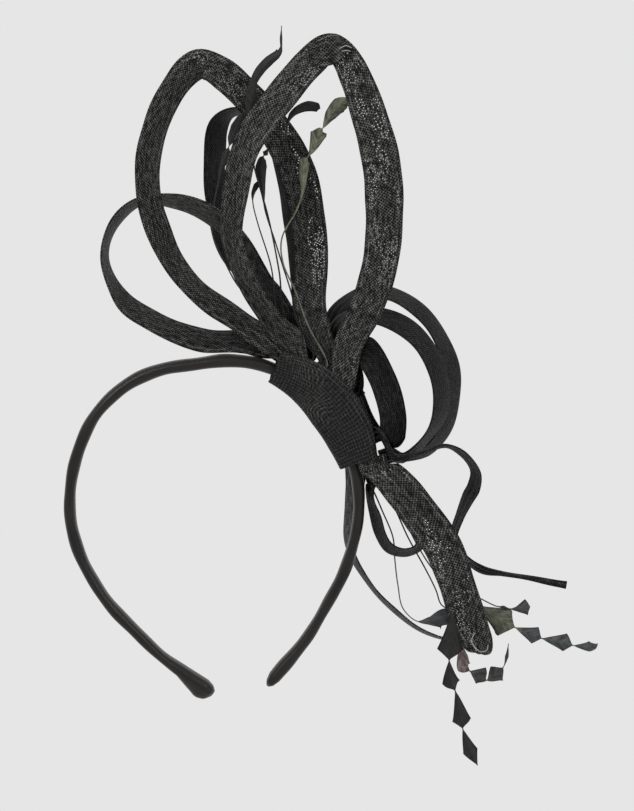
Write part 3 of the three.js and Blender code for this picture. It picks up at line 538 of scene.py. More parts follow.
def stations(reach, rows, start, end):
    """Centre, way across and width share at each station: hub + shares of the reach, the way
    across from lean and turn, and a short straight lead at each root."""
    rows = np.array(rows, float)
    depth = rows[:, 2] * LOOP_DEPTH
    at = np.stack([HUB[0] + rows[:, 0] * reach, depth, HUB[2] + rows[:, 1] * reach], axis=1)
    lean, turn = np.radians(rows[:, 3]), np.radians(rows[:, 4])
    across = np.stack([np.cos(lean) * np.cos(turn), np.sin(turn), np.sin(lean) * np.cos(turn)], axis=1)
    wide = rows[:, 5]
    for root, first in ((start, True), (end, False)):
        if root is None:
            continue
        place, lead, way, width = root
        way = way if way @ across[0 if first else -1] > 0 else -way
        pair = [place, place + lead * ROOT_LEAD]
        spots, ways, widths = np.array(pair), np.array([way, way]), np.array([width, width])
        if first:
            at, across = np.vstack([spots, at]), np.vstack([ways, across])
            wide = np.append(widths, wide)
        else:
            at, across = np.vstack([at, spots[::-1]]), np.vstack([across, ways])
            wide = np.append(wide, widths)
    return at, across, wide


def ribbon(name, reach, rows, start, end, seed):
    """A strip through the stations: centre + share across times half the width + the face way times
    a shallow bow, pleats where the strip is gathered narrower, and slow waves along its length."""
    at, across, wide = stations(reach, rows, start, end)
    count = (len(at) - 1) * RIBBON_FINE + 1
    step = np.linspace(0, len(at) - 1, count)
    middle = smooth(at, step)
    way = smooth(across, step)
    way /= np.linalg.norm(way, axis=1, keepdims=True)
    width = np.interp(step, np.arange(len(wide)), wide)
    ahead = np.gradient(middle, axis=0)
    face = np.cross(ahead, way)
    face /= np.linalg.norm(face, axis=1, keepdims=True)
    flips = np.cumprod(np.where((face[1:] * face[:-1]).sum(axis=1) < 0, -1, 1))
    face[1:] *= flips[:, None]
    length = np.concatenate([[0], np.cumsum(np.linalg.norm(np.diff(middle, axis=0), axis=1))])
    phase = np.random.default_rng(seed).uniform(0, 2 * np.pi, 6)
    share = np.linspace(-1, 1, RIBBON_COLUMNS)[None, :]
    far = length[:, None] * 1000
    waves = (0.00016 * np.sin(far / 4.1 + phase[0] + share) + 0.00022 * np.sin(far / 9.7 + phase[1])
             + 0.00018 * share * np.sin(far / 6.3 + phase[2]))
    pleats = 0.0022 * np.clip(0.97 - width, 0, 1)[:, None] * np.sin(share * 8.6 + phase[3])
    bow = 0.00035 * (1 - share ** 2)
    edge = 1 + 0.012 * np.sin(far / 3.3 + phase[4]) + 0.01 * np.sin(far / 7.9 + phase[5])
    side = share * edge * width[:, None] * RIBBON_WIDTH / 2
    grid = (middle[:, None] + side[..., None] * way[:, None]
            + (bow + waves + pleats)[..., None] * face[:, None])
    u = share * RIBBON_WIDTH * 500 + 0 * far
    v = far + 0 * share
    piece = surface(name, grid, np.stack([u, v], axis=-1))
    as_cloth(piece, RIBBON_CLOTH)
    return piece, float(length[-1])


def lay(name, node, finish, reach, rows, start, end, seed):
    """One ribbon piece in its finish, in place of its CAD node."""
    piece, length = ribbon(name, reach, rows, start, end, seed)
    piece.data.materials.append(finish)
    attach(piece, "root")
    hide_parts(node)
    return piece


# The cloth twice: with full painted glints, and a shaded copy with dimmer ones as painted shade
bias_cloth = cloth_finish("bias_cloth", BIAS_TURN, THREAD_GLINT, 1)
shaded_cloth = cloth_finish("shaded_cloth", BIAS_TURN, THREAD_GLINT_IN_SHADE, 0.45)
tall_front = lay("tall_front_ribbon", "tall_front_loop", bias_cloth, TALL_FRONT_REACH, TALL_FRONT,
                 pocket(0.22, 0.45, FRONT_LAYER, 0.55, "start"),
                 pocket(0.39, 0.35, FRONT_LAYER, 0.95, "out"), seed=3)
lay("tall_left_ribbon", "tall_left_loop", bias_cloth, TALL_LEFT_REACH, TALL_LEFT,
    pocket(0.1, 0.45, SECOND_LAYER, 0.45, "start"),
    pocket(0.33, 0.35, SECOND_LAYER, 0.9, "out"), seed=5)

# Tip of the front loop: the end of its left limb laid flat over the right one, and two stitches of
# pale sewing thread through both.
FOLD_SIZE = (0.013, 0.016)
FOLD_FROM = 180
SEWING_RADIUS = 0.0002
# Columns: across and up in metres at the upper edge, the same at the lower edge, and depth
TIP_FOLD = np.array([
    (0.0707, 0.1412, 0.0739, 0.1309, -0.0180), (0.0774, 0.1434, 0.0786, 0.1305, -0.0199),
    (0.0834, 0.1445, 0.0833, 0.1315, -0.0208), (0.0866, 0.1432, 0.0870, 0.1345, -0.0208),
])


def tip_fold():
    """The end of the front loop's left limb, laid flat over the right one at its tip: a blend from
    the upper edge to the lower one, with the far end rounded out by a parabola."""
    share = np.linspace(0, 1, 24)
    edges = smooth(TIP_FOLD, share * (len(TIP_FOLD) - 1))
    t = np.linspace(0, 1, 17)[None, :, None]
    flat = edges[:, None, :2] * (1 - t) + edges[:, None, 2:4] * t
    bulge = 0.0016 * (1 - (2 * t[..., 0] - 1) ** 2) * share[:, None] ** 5
    grid = np.stack([flat[..., 0] + bulge, edges[:, None, 4] + 0 * bulge, flat[..., 1]], axis=-1)
    u = (t[..., 0] - 0.5) * FOLD_SIZE[0] * 1000 + 0 * bulge
    v = share[:, None] * FOLD_SIZE[1] * 1000 + FOLD_FROM + 0 * bulge
    uv = np.stack([u, v], axis=-1)
    return surface("tip_fold", grid, uv)


fold_over = tip_fold()
fold_over.data.materials.append(bias_cloth)
as_cloth(fold_over, RIBBON_CLOTH)
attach(fold_over, "root")


def stitch(name, places):
    """Sewing thread: a thin round tube along the smooth curve through the places, given in metres."""
    places = np.array(places)
    middle = smooth(places, np.linspace(0, len(places) - 1, 12 * (len(places) - 1) + 1))
    ahead = np.gradient(middle, axis=0)
    ahead /= np.linalg.norm(ahead, axis=1, keepdims=True)
    side = np.cross(ahead, (0, 1, 0))
    side /= np.linalg.norm(side, axis=1, keepdims=True)
    other = np.cross(ahead, side)
    angle = np.linspace(0, 2 * np.pi, 8, endpoint=False)[None, :, None]
    round_it = np.cos(angle) * side[:, None] + np.sin(angle) * other[:, None]
    grid = middle[:, None] + SEWING_RADIUS * round_it
    far = np.arange(len(middle))[:, None] * 0.3
    uv = np.stack([np.linspace(0, 1, 9)[None, :] + 0 * far, far + np.zeros((1, 9))], axis=-1)
    piece = surface(name, grid, uv, tube=True)
    piece.data.materials.append(sewing_thread)
    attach(piece, "root")


sewing_thread = new_finish("sewing_thread", Roughness=0.6, Specular_IOR_Level=0.3,
                           Base_Color=(0.3, 0.295, 0.28, 1))[0]
stitch("tip_stitch_upper", [(0.0852, -0.0216, 0.1376), (0.0882, -0.0220, 0.1384),
                            (0.0906, -0.0206, 0.1371)])
stitch("tip_stitch_lower", [(0.0860, -0.0216, 0.1362), (0.0882, -0.0220, 0.1363),
                            (0.0898, -0.0206, 0.1357)])

# Round loop low on the left and the slimmer one that stands behind the tall loops: the same
# ribbon, turned so that mostly its edge shows.
LOW_LEFT_REACH = 0.110
SMALL_BACK_REACH = 0.130
LOW_LEFT = (
    (-0.32, 0.16, 0.32, 255, -50, 0.9), (-0.48, 0.19, 0.33, 250, -52, 1),
    (-0.68, 0.3, 0.47, 238, -58, 1), (-0.79, 0.4, 0.53, 222, -66, 1),
    (-0.84, 0.57, 0.6, 180, -80, 1), (-0.78, 0.72, 0.6, 135, -75, 1),
    (-0.66, 0.8, 0.6, 105, -70, 1), (-0.51, 0.78, 0.6, 80, -60, 1),
    (-0.37, 0.7, 0.5, 58, -50, 1), (-0.26, 0.56, 0.42, 40, -50, 1),
    (-0.2, 0.41, 0.35, 30, -50, 1), (-0.1, 0.18, 0.28, 25, -22, 0.9),
)
SMALL_BACK = (
    (-0.15, 0.28, 1.35, 200, -45, 1), (-0.27, 0.45, 1.3, 200, -50, 1),
    (-0.29, 0.63, 1.4, 182, -50, 1), (-0.28, 0.79, 1.4, 168, -50, 1),
    (-0.25, 0.9, 1.35, 140, -55, 1), (-0.2, 0.94, 1.3, 105, -70, 1),
    (-0.13, 0.93, 1.3, 70, -75, 1), (-0.07, 0.87, 1.3, 45, -60, 1),
    (-0.04, 0.77, 1.3, 22, -50, 1), (-0.03, 0.6, 1.3, 6, -50, 1),
    (-0.03, 0.39, 1.25, 0, -50, 1), (-0.03, 0.18, 1, 0, -40, 0.9),
)
lay("low_left_ribbon", "low_left_loop", bias_cloth, LOW_LEFT_REACH, LOW_LEFT,
    on_end("start", 0.62, 0.001, 0.33), on_face(0.12, 0.001, 0.5), seed=7)
lay("small_back_ribbon", "small_back_loop", shaded_cloth, SMALL_BACK_REACH, SMALL_BACK,
    on_face(0.08, 0.0056, 0.4), on_face(0.24, 0.0056, 0.4), seed=9)

# Right-hand loops: a short one close to the wrap and two round arcs behind it, one inside the
# other, both ends of each stitched to the gathered ribbon ends.
INNER_RIGHT_REACH = 0.060
MIDDLE_ARC_REACH = 0.065
OUTER_ARC_REACH = 0.080
INNER_RIGHT = (
    (0.34, 0.11, -0.05, 60, 30, 1), (0.45, -0.12, -0.1, 10, 35, 1),
    (0.49, -0.41, -0.1, -8, 35, 1), (0.47, -0.58, 0.02, -20, 40, 1),
    (0.465, -0.63, 0.12, -70, 60, 0.8), (0.39, -0.565, 0.07, -135, 72, 0.8),
    (0.31, -0.39, 0.22, -165, 75, 0.85), (0.25, -0.19, 0.25, -150, 70, 0.9),
)
MIDDLE_ARC = (
    (0.13, 0.26, 0.25, 150, 60, 0.8), (0.23, 0.34, 0.3, 110, 70, 1),
    (0.47, 0.32, 0.35, 70, 65, 1), (0.7, 0.14, 0.4, 42, 58, 1),
    (0.81, -0.15, 0.42, 8, 58, 1), (0.79, -0.43, 0.52, -20, 62, 1),
    (0.65, -0.62, 0.6, -60, 68, 1), (0.5, -0.71, 0.62, -88, 65, 0.75),
)
OUTER_ARC = (
    (0.1, 0.26, 1.2, 150, 60, 0.8), (0.26, 0.38, 1.35, 110, 70, 1),
    (0.43, 0.37, 1.45, 70, 72, 1), (0.61, 0.23, 1.5, 45, 68, 1),
    (0.73, -0.02, 1.55, 15, 62, 1), (0.74, -0.24, 1.55, -10, 58, 1),
    (0.66, -0.47, 1.62, -42, 60, 1), (0.54, -0.59, 1.7, -70, 65, 1),
    (0.4, -0.61, 1.6, -88, 65, 0.75),
)
lay("inner_right_ribbon", "inner_right_loop", shaded_cloth, INNER_RIGHT_REACH, INNER_RIGHT,
    on_face(0.46, 0, 0.5), on_face(0.48, 0.003, 0.4), seed=11)
lay("middle_right_ribbon", "middle_right_arc", shaded_cloth, MIDDLE_ARC_REACH, MIDDLE_ARC,
    on_face(0.34, 0.001, 0.4), on_face(0.93, 0.001, 0.4), seed=13)
lay("outer_right_ribbon", "outer_right_arc", shaded_cloth, OUTER_ARC_REACH, OUTER_ARC,
    on_face(0.38, 0.0052, 0.4), on_face(0.95, 0.0052, 0.4), seed=15)

# Lower loops: a wide one that slants down to the right and comes back behind the band, and a
# small narrow one that hangs from the end of the gathered ribbon ends.
LOWER_WIDE_REACH = 0.150
LOWER_SMALL_REACH = 0.100
LOWER_WIDE = (
    (0.15, -0.33, -0.5, 22, 0, 1.05), (0.2, -0.4, -0.55, 24, 0, 1.15),
    (0.248, -0.486, -0.6, 20, 0, 1.18), (0.296, -0.578, -0.8, 15, 0, 1.18),
    (0.32, -0.68, -0.87, 8, 0, 1.12), (0.34, -0.79, -0.87, 3, 0, 1.1),
    (0.36, -0.88, -0.8, 0, 12, 1), (0.365, -0.925, -0.65, -25, 45, 0.9),
    (0.34, -0.9, -0.4, -70, 65, 1), (0.24, -0.87, 0.05, -105, 75, 1),
    (0.17, -0.83, 0.33, -115, 75, 1), (0.11, -0.77, 0.53, -130, 75, 1),
    (0.06, -0.7, 0.7, -145, 75, 1), (0.02, -0.61, 0.85, -165, 78, 1),
    (0.01, -0.54, 0.9, -178, 74, 1), (0.035, -0.44, 0.88, -180, 64, 1),
    (0.055, -0.36, 0.98, -180, 54, 1), (0.06, -0.3, 1.02, -180, 50, 0.9),
)
LOWER_SMALL = (
    (0.15, -0.56, 0, 175, 65, 0.7), (0.14, -0.62, 0.05, 180, 75, 0.9),
    (0.15, -0.7, 0.05, 195, 72, 1), (0.165, -0.79, 0, 215, 68, 1),
    (0.2, -0.86, -0.05, 240, 62, 1), (0.27, -0.89, -0.05, 270, 65, 1),
    (0.335, -0.87, 0, 310, 70, 1), (0.35, -0.8, 0.1, 350, 72, 1),
    (0.3, -0.67, 0.2, 375, 70, 0.9), (0.24, -0.58, 0.25, 390, 65, 0.6),
)
lay("lower_wide_ribbon", "lower_wide_loop", bias_cloth, LOWER_WIDE_REACH, LOWER_WIDE,
    pocket(0.9, 0.66, FRONT_LAYER, 0.9, "end"), None, seed=17)
lay("lower_small_ribbon", "lower_small_loop", shaded_cloth, LOWER_SMALL_REACH, LOWER_SMALL,
    on_end("end", 0.48, -0.0003, 0.36), on_end("end", 0.6, 0.0026, 0.4), seed=19)

# Loose threads: the pale ends of the sewing at the wide loop's tip. They stand a little off its
# cloth, a long one in a bow and a short one beside it.
stitch("loose_thread_long", [(0.1089, -0.0136, -0.1399), (0.1108, -0.0142, -0.1434),
                             (0.1128, -0.0142, -0.1456), (0.1156, -0.0135, -0.1455),
                             (0.1168, -0.0122, -0.1433)])
stitch("loose_thread_short", [(0.1112, -0.0146, -0.1364), (0.1094, -0.0146, -0.1399),
                              (0.1111, -0.0144, -0.1449)])

# Tail: one free end of ribbon that leaves the lower edge of the wrap, curls over and down, and
# runs out into a narrow tip.
TAIL_REACH = 0.140
TAIL = (
    (0.195, -0.3, -0.8, 262, 60, 0.6), (0.23, -0.305, -0.8, 270, 70, 0.7),
    (0.3, -0.3, -0.8, 272, 75, 0.8), (0.37, -0.29, -0.8, 265, 78, 0.9),
    (0.42, -0.32, -0.78, 230, 72, 0.9), (0.455, -0.385, -0.67, 190, 70, 0.9),
    (0.445, -0.44, -0.5, 160, 70, 0.9), (0.42, -0.48, -0.3, 145, 72, 0.9),
    (0.385, -0.54, -0.05, 150, 78, 0.9), (0.36, -0.6, 0.1, 180, 80, 0.9),
    (0.37, -0.655, 0.15, 215, 76, 0.9), (0.4, -0.7, 0.05, 245, 70, 0.9),
    (0.44, -0.73, 0, 255, 66, 0.8), (0.5, -0.75, 0, 258, 70, 0.75),
    (0.59, -0.78, 0, 255, 74, 0.6), (0.705, -0.82, 0, 255, 80, 0.28),
)
lay("ribbon_tail", "tail", shaded_cloth, TAIL_REACH, TAIL,
    pocket(0.77, 0.9, FRONT_LAYER, 0.5, "out"), None, seed=21)

# Upper feathers: six stripped quills that fan out of the wrap between the tall loops. The vane is
# left on near each tip and cut with scissors into a row of kites; five are black, one has a green cast.
VANE_HALF_WIDTH = 0.006
QUILL = 0.00042
QUILL_LAYER = -0.0047
QUILL_RISE = 0.75
QUILL_INNER_LAYER = 0.0046
QUILL_BACK_LAYER = 0.0063
BARB_EDGE = 0.00009
BARB_PITCH = 0.62
QUILL_TAPER = 0.45
QUILL_FINE = 10
# Columns: across, up (shares of the reach from the hub), depth (share of the loop depth),
# left and right half width (shares of the vane's half width)
TALL_FEATHER = (
    (-0.082, 0.164, -0.4, 0, 0), (-0.082, 0.311, -0.72, 0, 0), (-0.092, 0.47, -0.72, 0, 0),
    (-0.112, 0.616, -0.72, 0, 0), (-0.114, 0.733, -0.72, 0, 0), (-0.095, 0.787, -0.72, 0.46, 0.61),
    (-0.089, 0.821, -0.72, 0.31, 0.46), (-0.08, 0.848, -0.72, 0.26, 0.31),
    (-0.06, 0.876, -0.72, 0.34, 0.38), (-0.031, 0.9, -0.72, 0.35, 0.4),
    (-0.004, 0.915, -0.72, 0.26, 0.35), (0.007, 0.921, -0.72, 0.08, 0.42),
    (0.01, 0.937, -0.72, 0.08, 0.08), (0.013, 0.962, -0.72, 0.1, 0.1), (0.019, 0.995, -0.72, 0, 0),
)
TIP_FEATHER = (
    (-0.004, 0.203, -0.36, 0, 0), (-0.028, 0.478, -0.5, 0, 0), (-0.019, 0.745, -0.5, 0, 0),
    (-0.009, 0.941, -0.5, 0, 0), (0.016, 0.987, -0.5, 0.19, 0.23), (0.046, 1.006, -0.5, 0.31, 0.32),
    (0.084, 1.012, -0.5, 0.37, 0.43), (0.118, 1.004, -0.5, 0.35, 0.34), (0.128, 0.999, -0.5, 0, 0),
)
GREEN_FEATHER = (
    (-0.027, 0.173, -0.36, 0, 0), (-0.055, 0.304, -0.6, 0, 0), (-0.084, 0.408, -0.6, 0, 0),
    (-0.076, 0.492, -0.6, 0, 0), (-0.012, 0.582, -0.6, 0, 0), (0.017, 0.641, -0.6, 0.12, 0.12),
    (0.028, 0.696, -0.6, 0.31, 0.35), (0.039, 0.747, -0.6, 0.46, 0.42), (0.051, 0.76, -0.6, 0, 0),
    (0.076, 0.788, -0.6, 0.23, 0.35), (0.1, 0.834, -0.6, 0.61, 0.65), (0.108, 0.849, -0.6, 0.54, 0.23),
    (0.116, 0.853, -0.6, 0, 0), (0.15, 0.894, -0.6, 0.43, 0.46), (0.185, 0.924, -0.6, 0.61, 0.61),
    (0.211, 0.929, -0.6, 0.38, 0.43), (0.224, 0.926, -0.6, 0, 0),
)
DARK_FEATHER = (
    (-0.075, 0.23, -0.32, 0, 0), (-0.081, 0.338, -0.4, 0, 0), (-0.104, 0.476, -0.4, 0, 0),
    (-0.12, 0.57, -0.4, 0, 0), (-0.144, 0.711, -0.4, 0, 0), (-0.142, 0.778, -0.4, 0.17, 0.18),
    (-0.14, 0.836, -0.4, 0.32, 0.38), (-0.136, 0.885, -0.4, 0.46, 0.42),
    (-0.127, 0.917, -0.4, 0.31, 0.23), (-0.119, 0.927, -0.4, 0, 0), (-0.11, 0.936, -0.4, 0.23, 0.26),
    (-0.097, 0.955, -0.4, 0, 0),
)
SHORT_FEATHER = (
    (-0.201, 0.273, -0.3, 0, 0), (-0.208, 0.475, -0.27, 0, 0), (-0.208, 0.643, -0.27, 0, 0),
    (-0.25, 0.902, -0.27, 0, 0), (-0.261, 1.013, -0.27, 0, 0), (-0.253, 1.069, -0.27, 0.14, 0.14),
    (-0.227, 1.112, -0.27, 0.23, 0.23), (-0.199, 1.148, -0.27, 0, 0),
)
LEFT_FEATHER = (
    (-0.171, 0.162, -0.22, 0, 0), (-0.2, 0.261, -0.1, 0, 0), (-0.256, 0.347, -0.08, 0, 0),
    (-0.287, 0.429, -0.07, 0, 0), (-0.314, 0.518, -0.05, 0, 0), (-0.315, 0.574, 0.02, 0, 0),
    (-0.301, 0.629, 0.02, 0, 0), (-0.276, 0.7, 0.02, 0, 0), (-0.254, 0.758, 0.02, 0.19, 0.23),
    (-0.23, 0.804, 0.02, 0.38, 0.38), (-0.218, 0.83, 0.02, 0, 0), (-0.205, 0.857, 0.02, 0.38, 0.31),
    (-0.182, 0.893, 0.02, 0.61, 0.46), (-0.164, 0.922, 0.02, 0.46, 0.31), (-0.151, 0.941, 0.02, 0, 0),
)


def feather(name, reach, rows, root, seed):
    """A quill that thins towards its tip and widens into cut vanes. The ring runs over the face from
    the left edge to the right one and back under it: share across times the half width, lowered
    towards the edges into a shallow roof, plus or minus a thickness that is the quill's in the
    middle and thin at the edge."""
    rows = np.array(rows, float)
    depth = rows[:, 2] * LOOP_DEPTH
    at = np.stack([HUB[0] + rows[:, 0] * reach, depth, HUB[2] + rows[:, 1] * reach], axis=1)
    place, lead = root[:2]
    at = np.vstack([place, place + lead * ROOT_LEAD, at])
    halves = np.vstack([np.zeros((2, 2)), rows[:, 3:]]) * VANE_HALF_WIDTH
    count = (len(at) - 1) * QUILL_FINE + 1
    step = np.linspace(0, len(at) - 1, count)
    middle = smooth(at, step)
    ahead = np.gradient(middle, axis=0)
    ahead /= np.linalg.norm(ahead, axis=1, keepdims=True)
    across = np.stack([-ahead[:, 2], 0 * step, ahead[:, 0]], axis=1)
    across /= np.linalg.norm(across, axis=1, keepdims=True)
    face = np.cross(ahead, across)
    taper = np.interp(step, [0, len(at) - 1], [1, QUILL_TAPER]) * QUILL
    left = np.maximum(np.interp(step, np.arange(len(at)), halves[:, 0]), taper)
    right = np.maximum(np.interp(step, np.arange(len(at)), halves[:, 1]), taper)
    share = np.array([-1, -0.7, -0.4, -0.16, 0, 0.16, 0.4, 0.7, 1])
    share = np.concatenate([share, share[-2:0:-1]])
    side = np.concatenate([np.ones(9), -np.ones(7)])
    side[[0, 8]] = 0
    width = np.where(share < 0, left[:, None], right[:, None])
    over = share * width
    near = np.exp(-(over / (1.3 * taper[:, None])) ** 2)
    thickness = BARB_EDGE + near * (taper[:, None] - BARB_EDGE)
    phase = np.random.default_rng(seed).uniform(0, 6.28, 2)
    far = np.concatenate([[0], np.cumsum(np.linalg.norm(np.diff(middle, axis=0), axis=1))]) * 1000
    curl = 0.16 * np.sin(far / 7 + phase[0])[:, None] * over - 0.24 * np.abs(over)
    grid = (middle[:, None] + over[..., None] * across[:, None]
            + (curl + side * thickness)[..., None] * face[:, None])
    u = np.append(share, share[0])[None, :] * np.append(width, width[:, :1], axis=1) * 1000
    v = far[:, None] + 0 * u
    return surface(name, grid, np.stack([u, v], axis=-1), tube=True)


def feather_finish(name, dark, light, until, beyond):
    """Barbs leave the rib at a slant, so the fine lines run where the length less the distance from
    the rib is constant. Broad streaks follow the same slant, and the rib is lighter. The light
    colour changes to the one beyond after that many millimetres."""
    finish, shader, u, v = new_finish(name, Specular_IOR_Level=0.3)
    out = u.maths("ABSOLUTE")
    slant = v - out * 1.5
    barbs = (slant / BARB_PITCH).maths("PINGPONG", 0.5) * 2
    streaks = patchy(out, slant, 7.0, 2.2, 3.0)
    mottle = patchy(u, v, 3.2, 5.0, 3.0)
    rib = 1 - (out * 3.6).maths("MINIMUM", 1)
    bright = (streaks * 0.9 + mottle * 0.8 - 0.5) * (barbs * 0.3 + 0.85) + rib * 0.18
    relief = u.node("ShaderNodeBump", {}, {"Strength": 0.45, "Distance": 0.0002,
                                           "Height": barbs * 0.7 + streaks})
    links = finish.node_tree.links
    cast = mixed(v.maths("GREATER_THAN", until), light, beyond)
    shade = bright.node("ShaderNodeMix", {"data_type": "RGBA", "clamp_factor": True},
                        {0: bright, 6: (*dark, 1), 7: cast}, 2)
    links.new(shade.socket, shader.inputs["Base Color"])
    links.new((0.5 - barbs * 0.12 + mottle * 0.1).socket, shader.inputs["Roughness"])
    links.new(relief.socket, shader.inputs["Normal"])
    return finish


def plume(name, reach, rows, root, finish, seed):
    """One feather in its finish, in place of its CAD node."""
    piece = feather(name + "_plume", reach, rows, root, seed)
    piece.data.materials.append(finish)
    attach(piece, "root")
    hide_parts(name + "_feather")


BLACK_BARBS = (0.0022, 0.0020, 0.0018)
GREY_BARBS = (0.007, 0.0085, 0.007)
GREEN_BARBS = (0.010, 0.0105, 0.006)
BLACK_SHEEN = (0.024, 0.0225, 0.020)
OLIVE = (0.25, 0.26, 0.175)
BLUE_GREY = (0.104, 0.112, 0.115)
ASH = (0.098, 0.1, 0.088)
ROSY = (0.33, 0.245, 0.24)
GREEN_UNTIL = 110
ROSY_UNTIL = 113
black_vane = feather_finish("black_vane", BLACK_BARBS, BLACK_SHEEN, 0, BLACK_SHEEN)
green_vane = feather_finish("green_vane", GREEN_BARBS, OLIVE, 0, OLIVE)
grey_vane = feather_finish("grey_vane", GREY_BARBS, BLUE_GREY, 0, BLUE_GREY)
two_tone_vane = feather_finish("two_tone_vane", GREY_BARBS, OLIVE, GREEN_UNTIL, BLUE_GREY)
rosy_vane = feather_finish("rosy_vane", GREY_BARBS, ROSY, ROSY_UNTIL, ASH)
# Columns: name, reach, table, root's share along the gathered ends, finish, seed
UPPER_FEATHERS = (
    ("tall", 0.160, TALL_FEATHER, 0.15, black_vane, 2),
    ("tip", 0.120, TIP_FEATHER, 0.29, black_vane, 4),
    ("green", 0.130, GREEN_FEATHER, 0.245, green_vane, 6),
    ("dark", 0.110, DARK_FEATHER, 0.2, black_vane, 8),
    ("short", 0.080, SHORT_FEATHER, 0.1, black_vane, 10),
    ("left", 0.130, LEFT_FEATHER, 0, black_vane, 12),
)
for name, reach, rows, along, finish, seed in UPPER_FEATHERS:
    plume(name, reach, rows, pocket(along, QUILL_RISE, QUILL_LAYER, 0, "out"), finish, seed)

# Lower feathers: five more that leave the far end of the gathered ribbon ends and spray out to the
# right and down, cut the same way. Some show a green, grey or rosy cast.
RIGHT_FEATHER = (
    (0.118, -0.321, 0.64, 0, 0), (0.147, -0.382, 0.75, 0, 0), (0.178, -0.479, 0.75, 0, 0),
    (0.208, -0.547, 0.6, 0, 0), (0.251, -0.608, 0.2, 0, 0), (0.298, -0.65, -0.2, 0, 0),
    (0.336, -0.674, -0.2, 0.38, 0.38), (0.377, -0.704, -0.2, 1.23, 1.07),
    (0.385, -0.711, -0.2, 1.3, 0.77), (0.404, -0.725, -0.2, 0, 0), (0.452, -0.754, -0.2, 0.69, 0.73),
    (0.469, -0.763, -0.2, 0, 0), (0.526, -0.784, -0.2, 0.65, 0.75), (0.546, -0.792, -0.2, 0, 0),
    (0.587, -0.803, -0.2, 0.35, 0.5), (0.601, -0.801, -0.2, 0.27, 0.25), (0.611, -0.796, -0.2, 0, 0),
)
SMALL_FEATHER = (
    (0.166, -0.388, 0.6, 0, 0), (0.188, -0.459, 0.72, 0, 0), (0.229, -0.577, 0.74, 0, 0),
    (0.273, -0.669, 0.6, 0, 0), (0.333, -0.736, 0.35, 0, 0), (0.39, -0.773, 0.2, 0, 0),
    (0.44, -0.804, 0.13, 0, 0), (0.459, -0.807, 0.13, 0.23, 0.08), (0.476, -0.816, 0.13, 0, 0),
    (0.498, -0.82, 0.13, 0.19, 0.19), (0.529, -0.818, 0.13, 0.69, 0.61), (0.541, -0.818, 0.13, 0, 0),
)
HANGING_FEATHER = (
    (0.109, -0.34, 0.8, 0, 0), (0.142, -0.406, 0.98, 0, 0), (0.171, -0.5, 0.98, 0, 0),
    (0.206, -0.58, 0.25, 0, 0), (0.227, -0.63, -0.6, 0, 0), (0.235, -0.662, -1, 0, 0),
    (0.257, -0.686, -1.13, 0, 0), (0.243, -0.787, -1.13, 1, 1.04), (0.237, -0.816, -1.13, 0, 0),
    (0.234, -0.878, -1.13, 0.69, 0.71), (0.242, -0.902, -1.13, 0, 0),
    (0.249, -0.986, -1.13, 0.73, 0.74), (0.249, -1.009, -1.13, 0, 0), (0.262, -1.075, -1.13, 0.6, 0.58),
    (0.276, -1.116, -1.13, 0, 0),
)
CURLED_FEATHER = (
    (0.184, -0.405, 1.1, 0, 0), (0.201, -0.469, 1.15, 0, 0), (0.242, -0.586, 1.12, 0, 0),
    (0.275, -0.713, 0.85, 0, 0), (0.297, -0.819, 0.4, 0, 0), (0.313, -0.905, 0.4, 0, 0),
    (0.313, -0.953, 0.4, 0.42, 0.42), (0.313, -0.988, 0.4, 0.54, 0.61), (0.33, -1.002, 0.4, 0, 0),
    (0.36, -1.025, 0.4, 0.69, 0.84), (0.378, -1.038, 0.4, 0, 0), (0.41, -1.02, 0.4, 0.88, 0.69),
    (0.434, -1.004, 0.4, 0, 0), (0.45, -0.971, 0.4, 0.14, 0.15), (0.46, -0.931, 0.4, 0, 0),
)
LOWER_FEATHER = (
    (0.122, -0.459, 0.55, 0, 0), (0.144, -0.538, 0.7, 0, 0), (0.17, -0.641, 0.7, 0, 0),
    (0.166, -0.721, 0.5, 0, 0), (0.165, -0.799, -0.1, 0, 0), (0.172, -0.874, -0.53, 0, 0),
    (0.214, -0.924, -0.6, 0, 0), (0.263, -0.93, -0.6, 0.38, 0.35), (0.309, -0.933, -0.6, 0.81, 0.92),
    (0.328, -0.952, -0.6, 0, 0),
)
# Columns: name, reach, table, root's share up and its depth on the gathered ends, finish, seed
LOWER_FEATHERS = (
    ("right", 0.180, RIGHT_FEATHER, 0.55, QUILL_BACK_LAYER, two_tone_vane, 14),
    ("small", 0.150, SMALL_FEATHER, 0.85, QUILL_INNER_LAYER, grey_vane, 16),
    ("hanging", 0.170, HANGING_FEATHER, 0.36, QUILL_BACK_LAYER, black_vane, 18),
    ("curled", 0.150, CURLED_FEATHER, 0.88, QUILL_BACK_LAYER, rosy_vane, 20),
    ("lower", 0.130, LOWER_FEATHER, 0.12, QUILL_BACK_LAYER, grey_vane, 22),
)
for name, reach, rows, rise, depth, finish, seed in LOWER_FEATHERS:
    plume(name, reach, rows, on_end("end", rise, depth, 0), finish, seed)

# Floor, light and camera: a pale sweep far below and behind, large soft lights, and a long lens
# that looks down a little, rolled by a few degrees as the photograph is.
FLOOR_Z = -0.9
BACKDROP_FROM = 3
BACKDROP_BEND = 1.5
BACKDROP_TOP = 6.0
PALE = (0.791, 0.791, 0.791)
ROOM = (0.9, 0.93, 1)
ROOM_STRENGTH = 0.5
LAMP_SIZE = 0.6
LIT_MIDDLE = (0.03, 0, -0.03)
CAMERA_PLACE = (0.08119, -1.48767, 0.18336)
LENS = 144.75
ROLL = math.radians(7.7)
ELEVATION = math.radians(8)


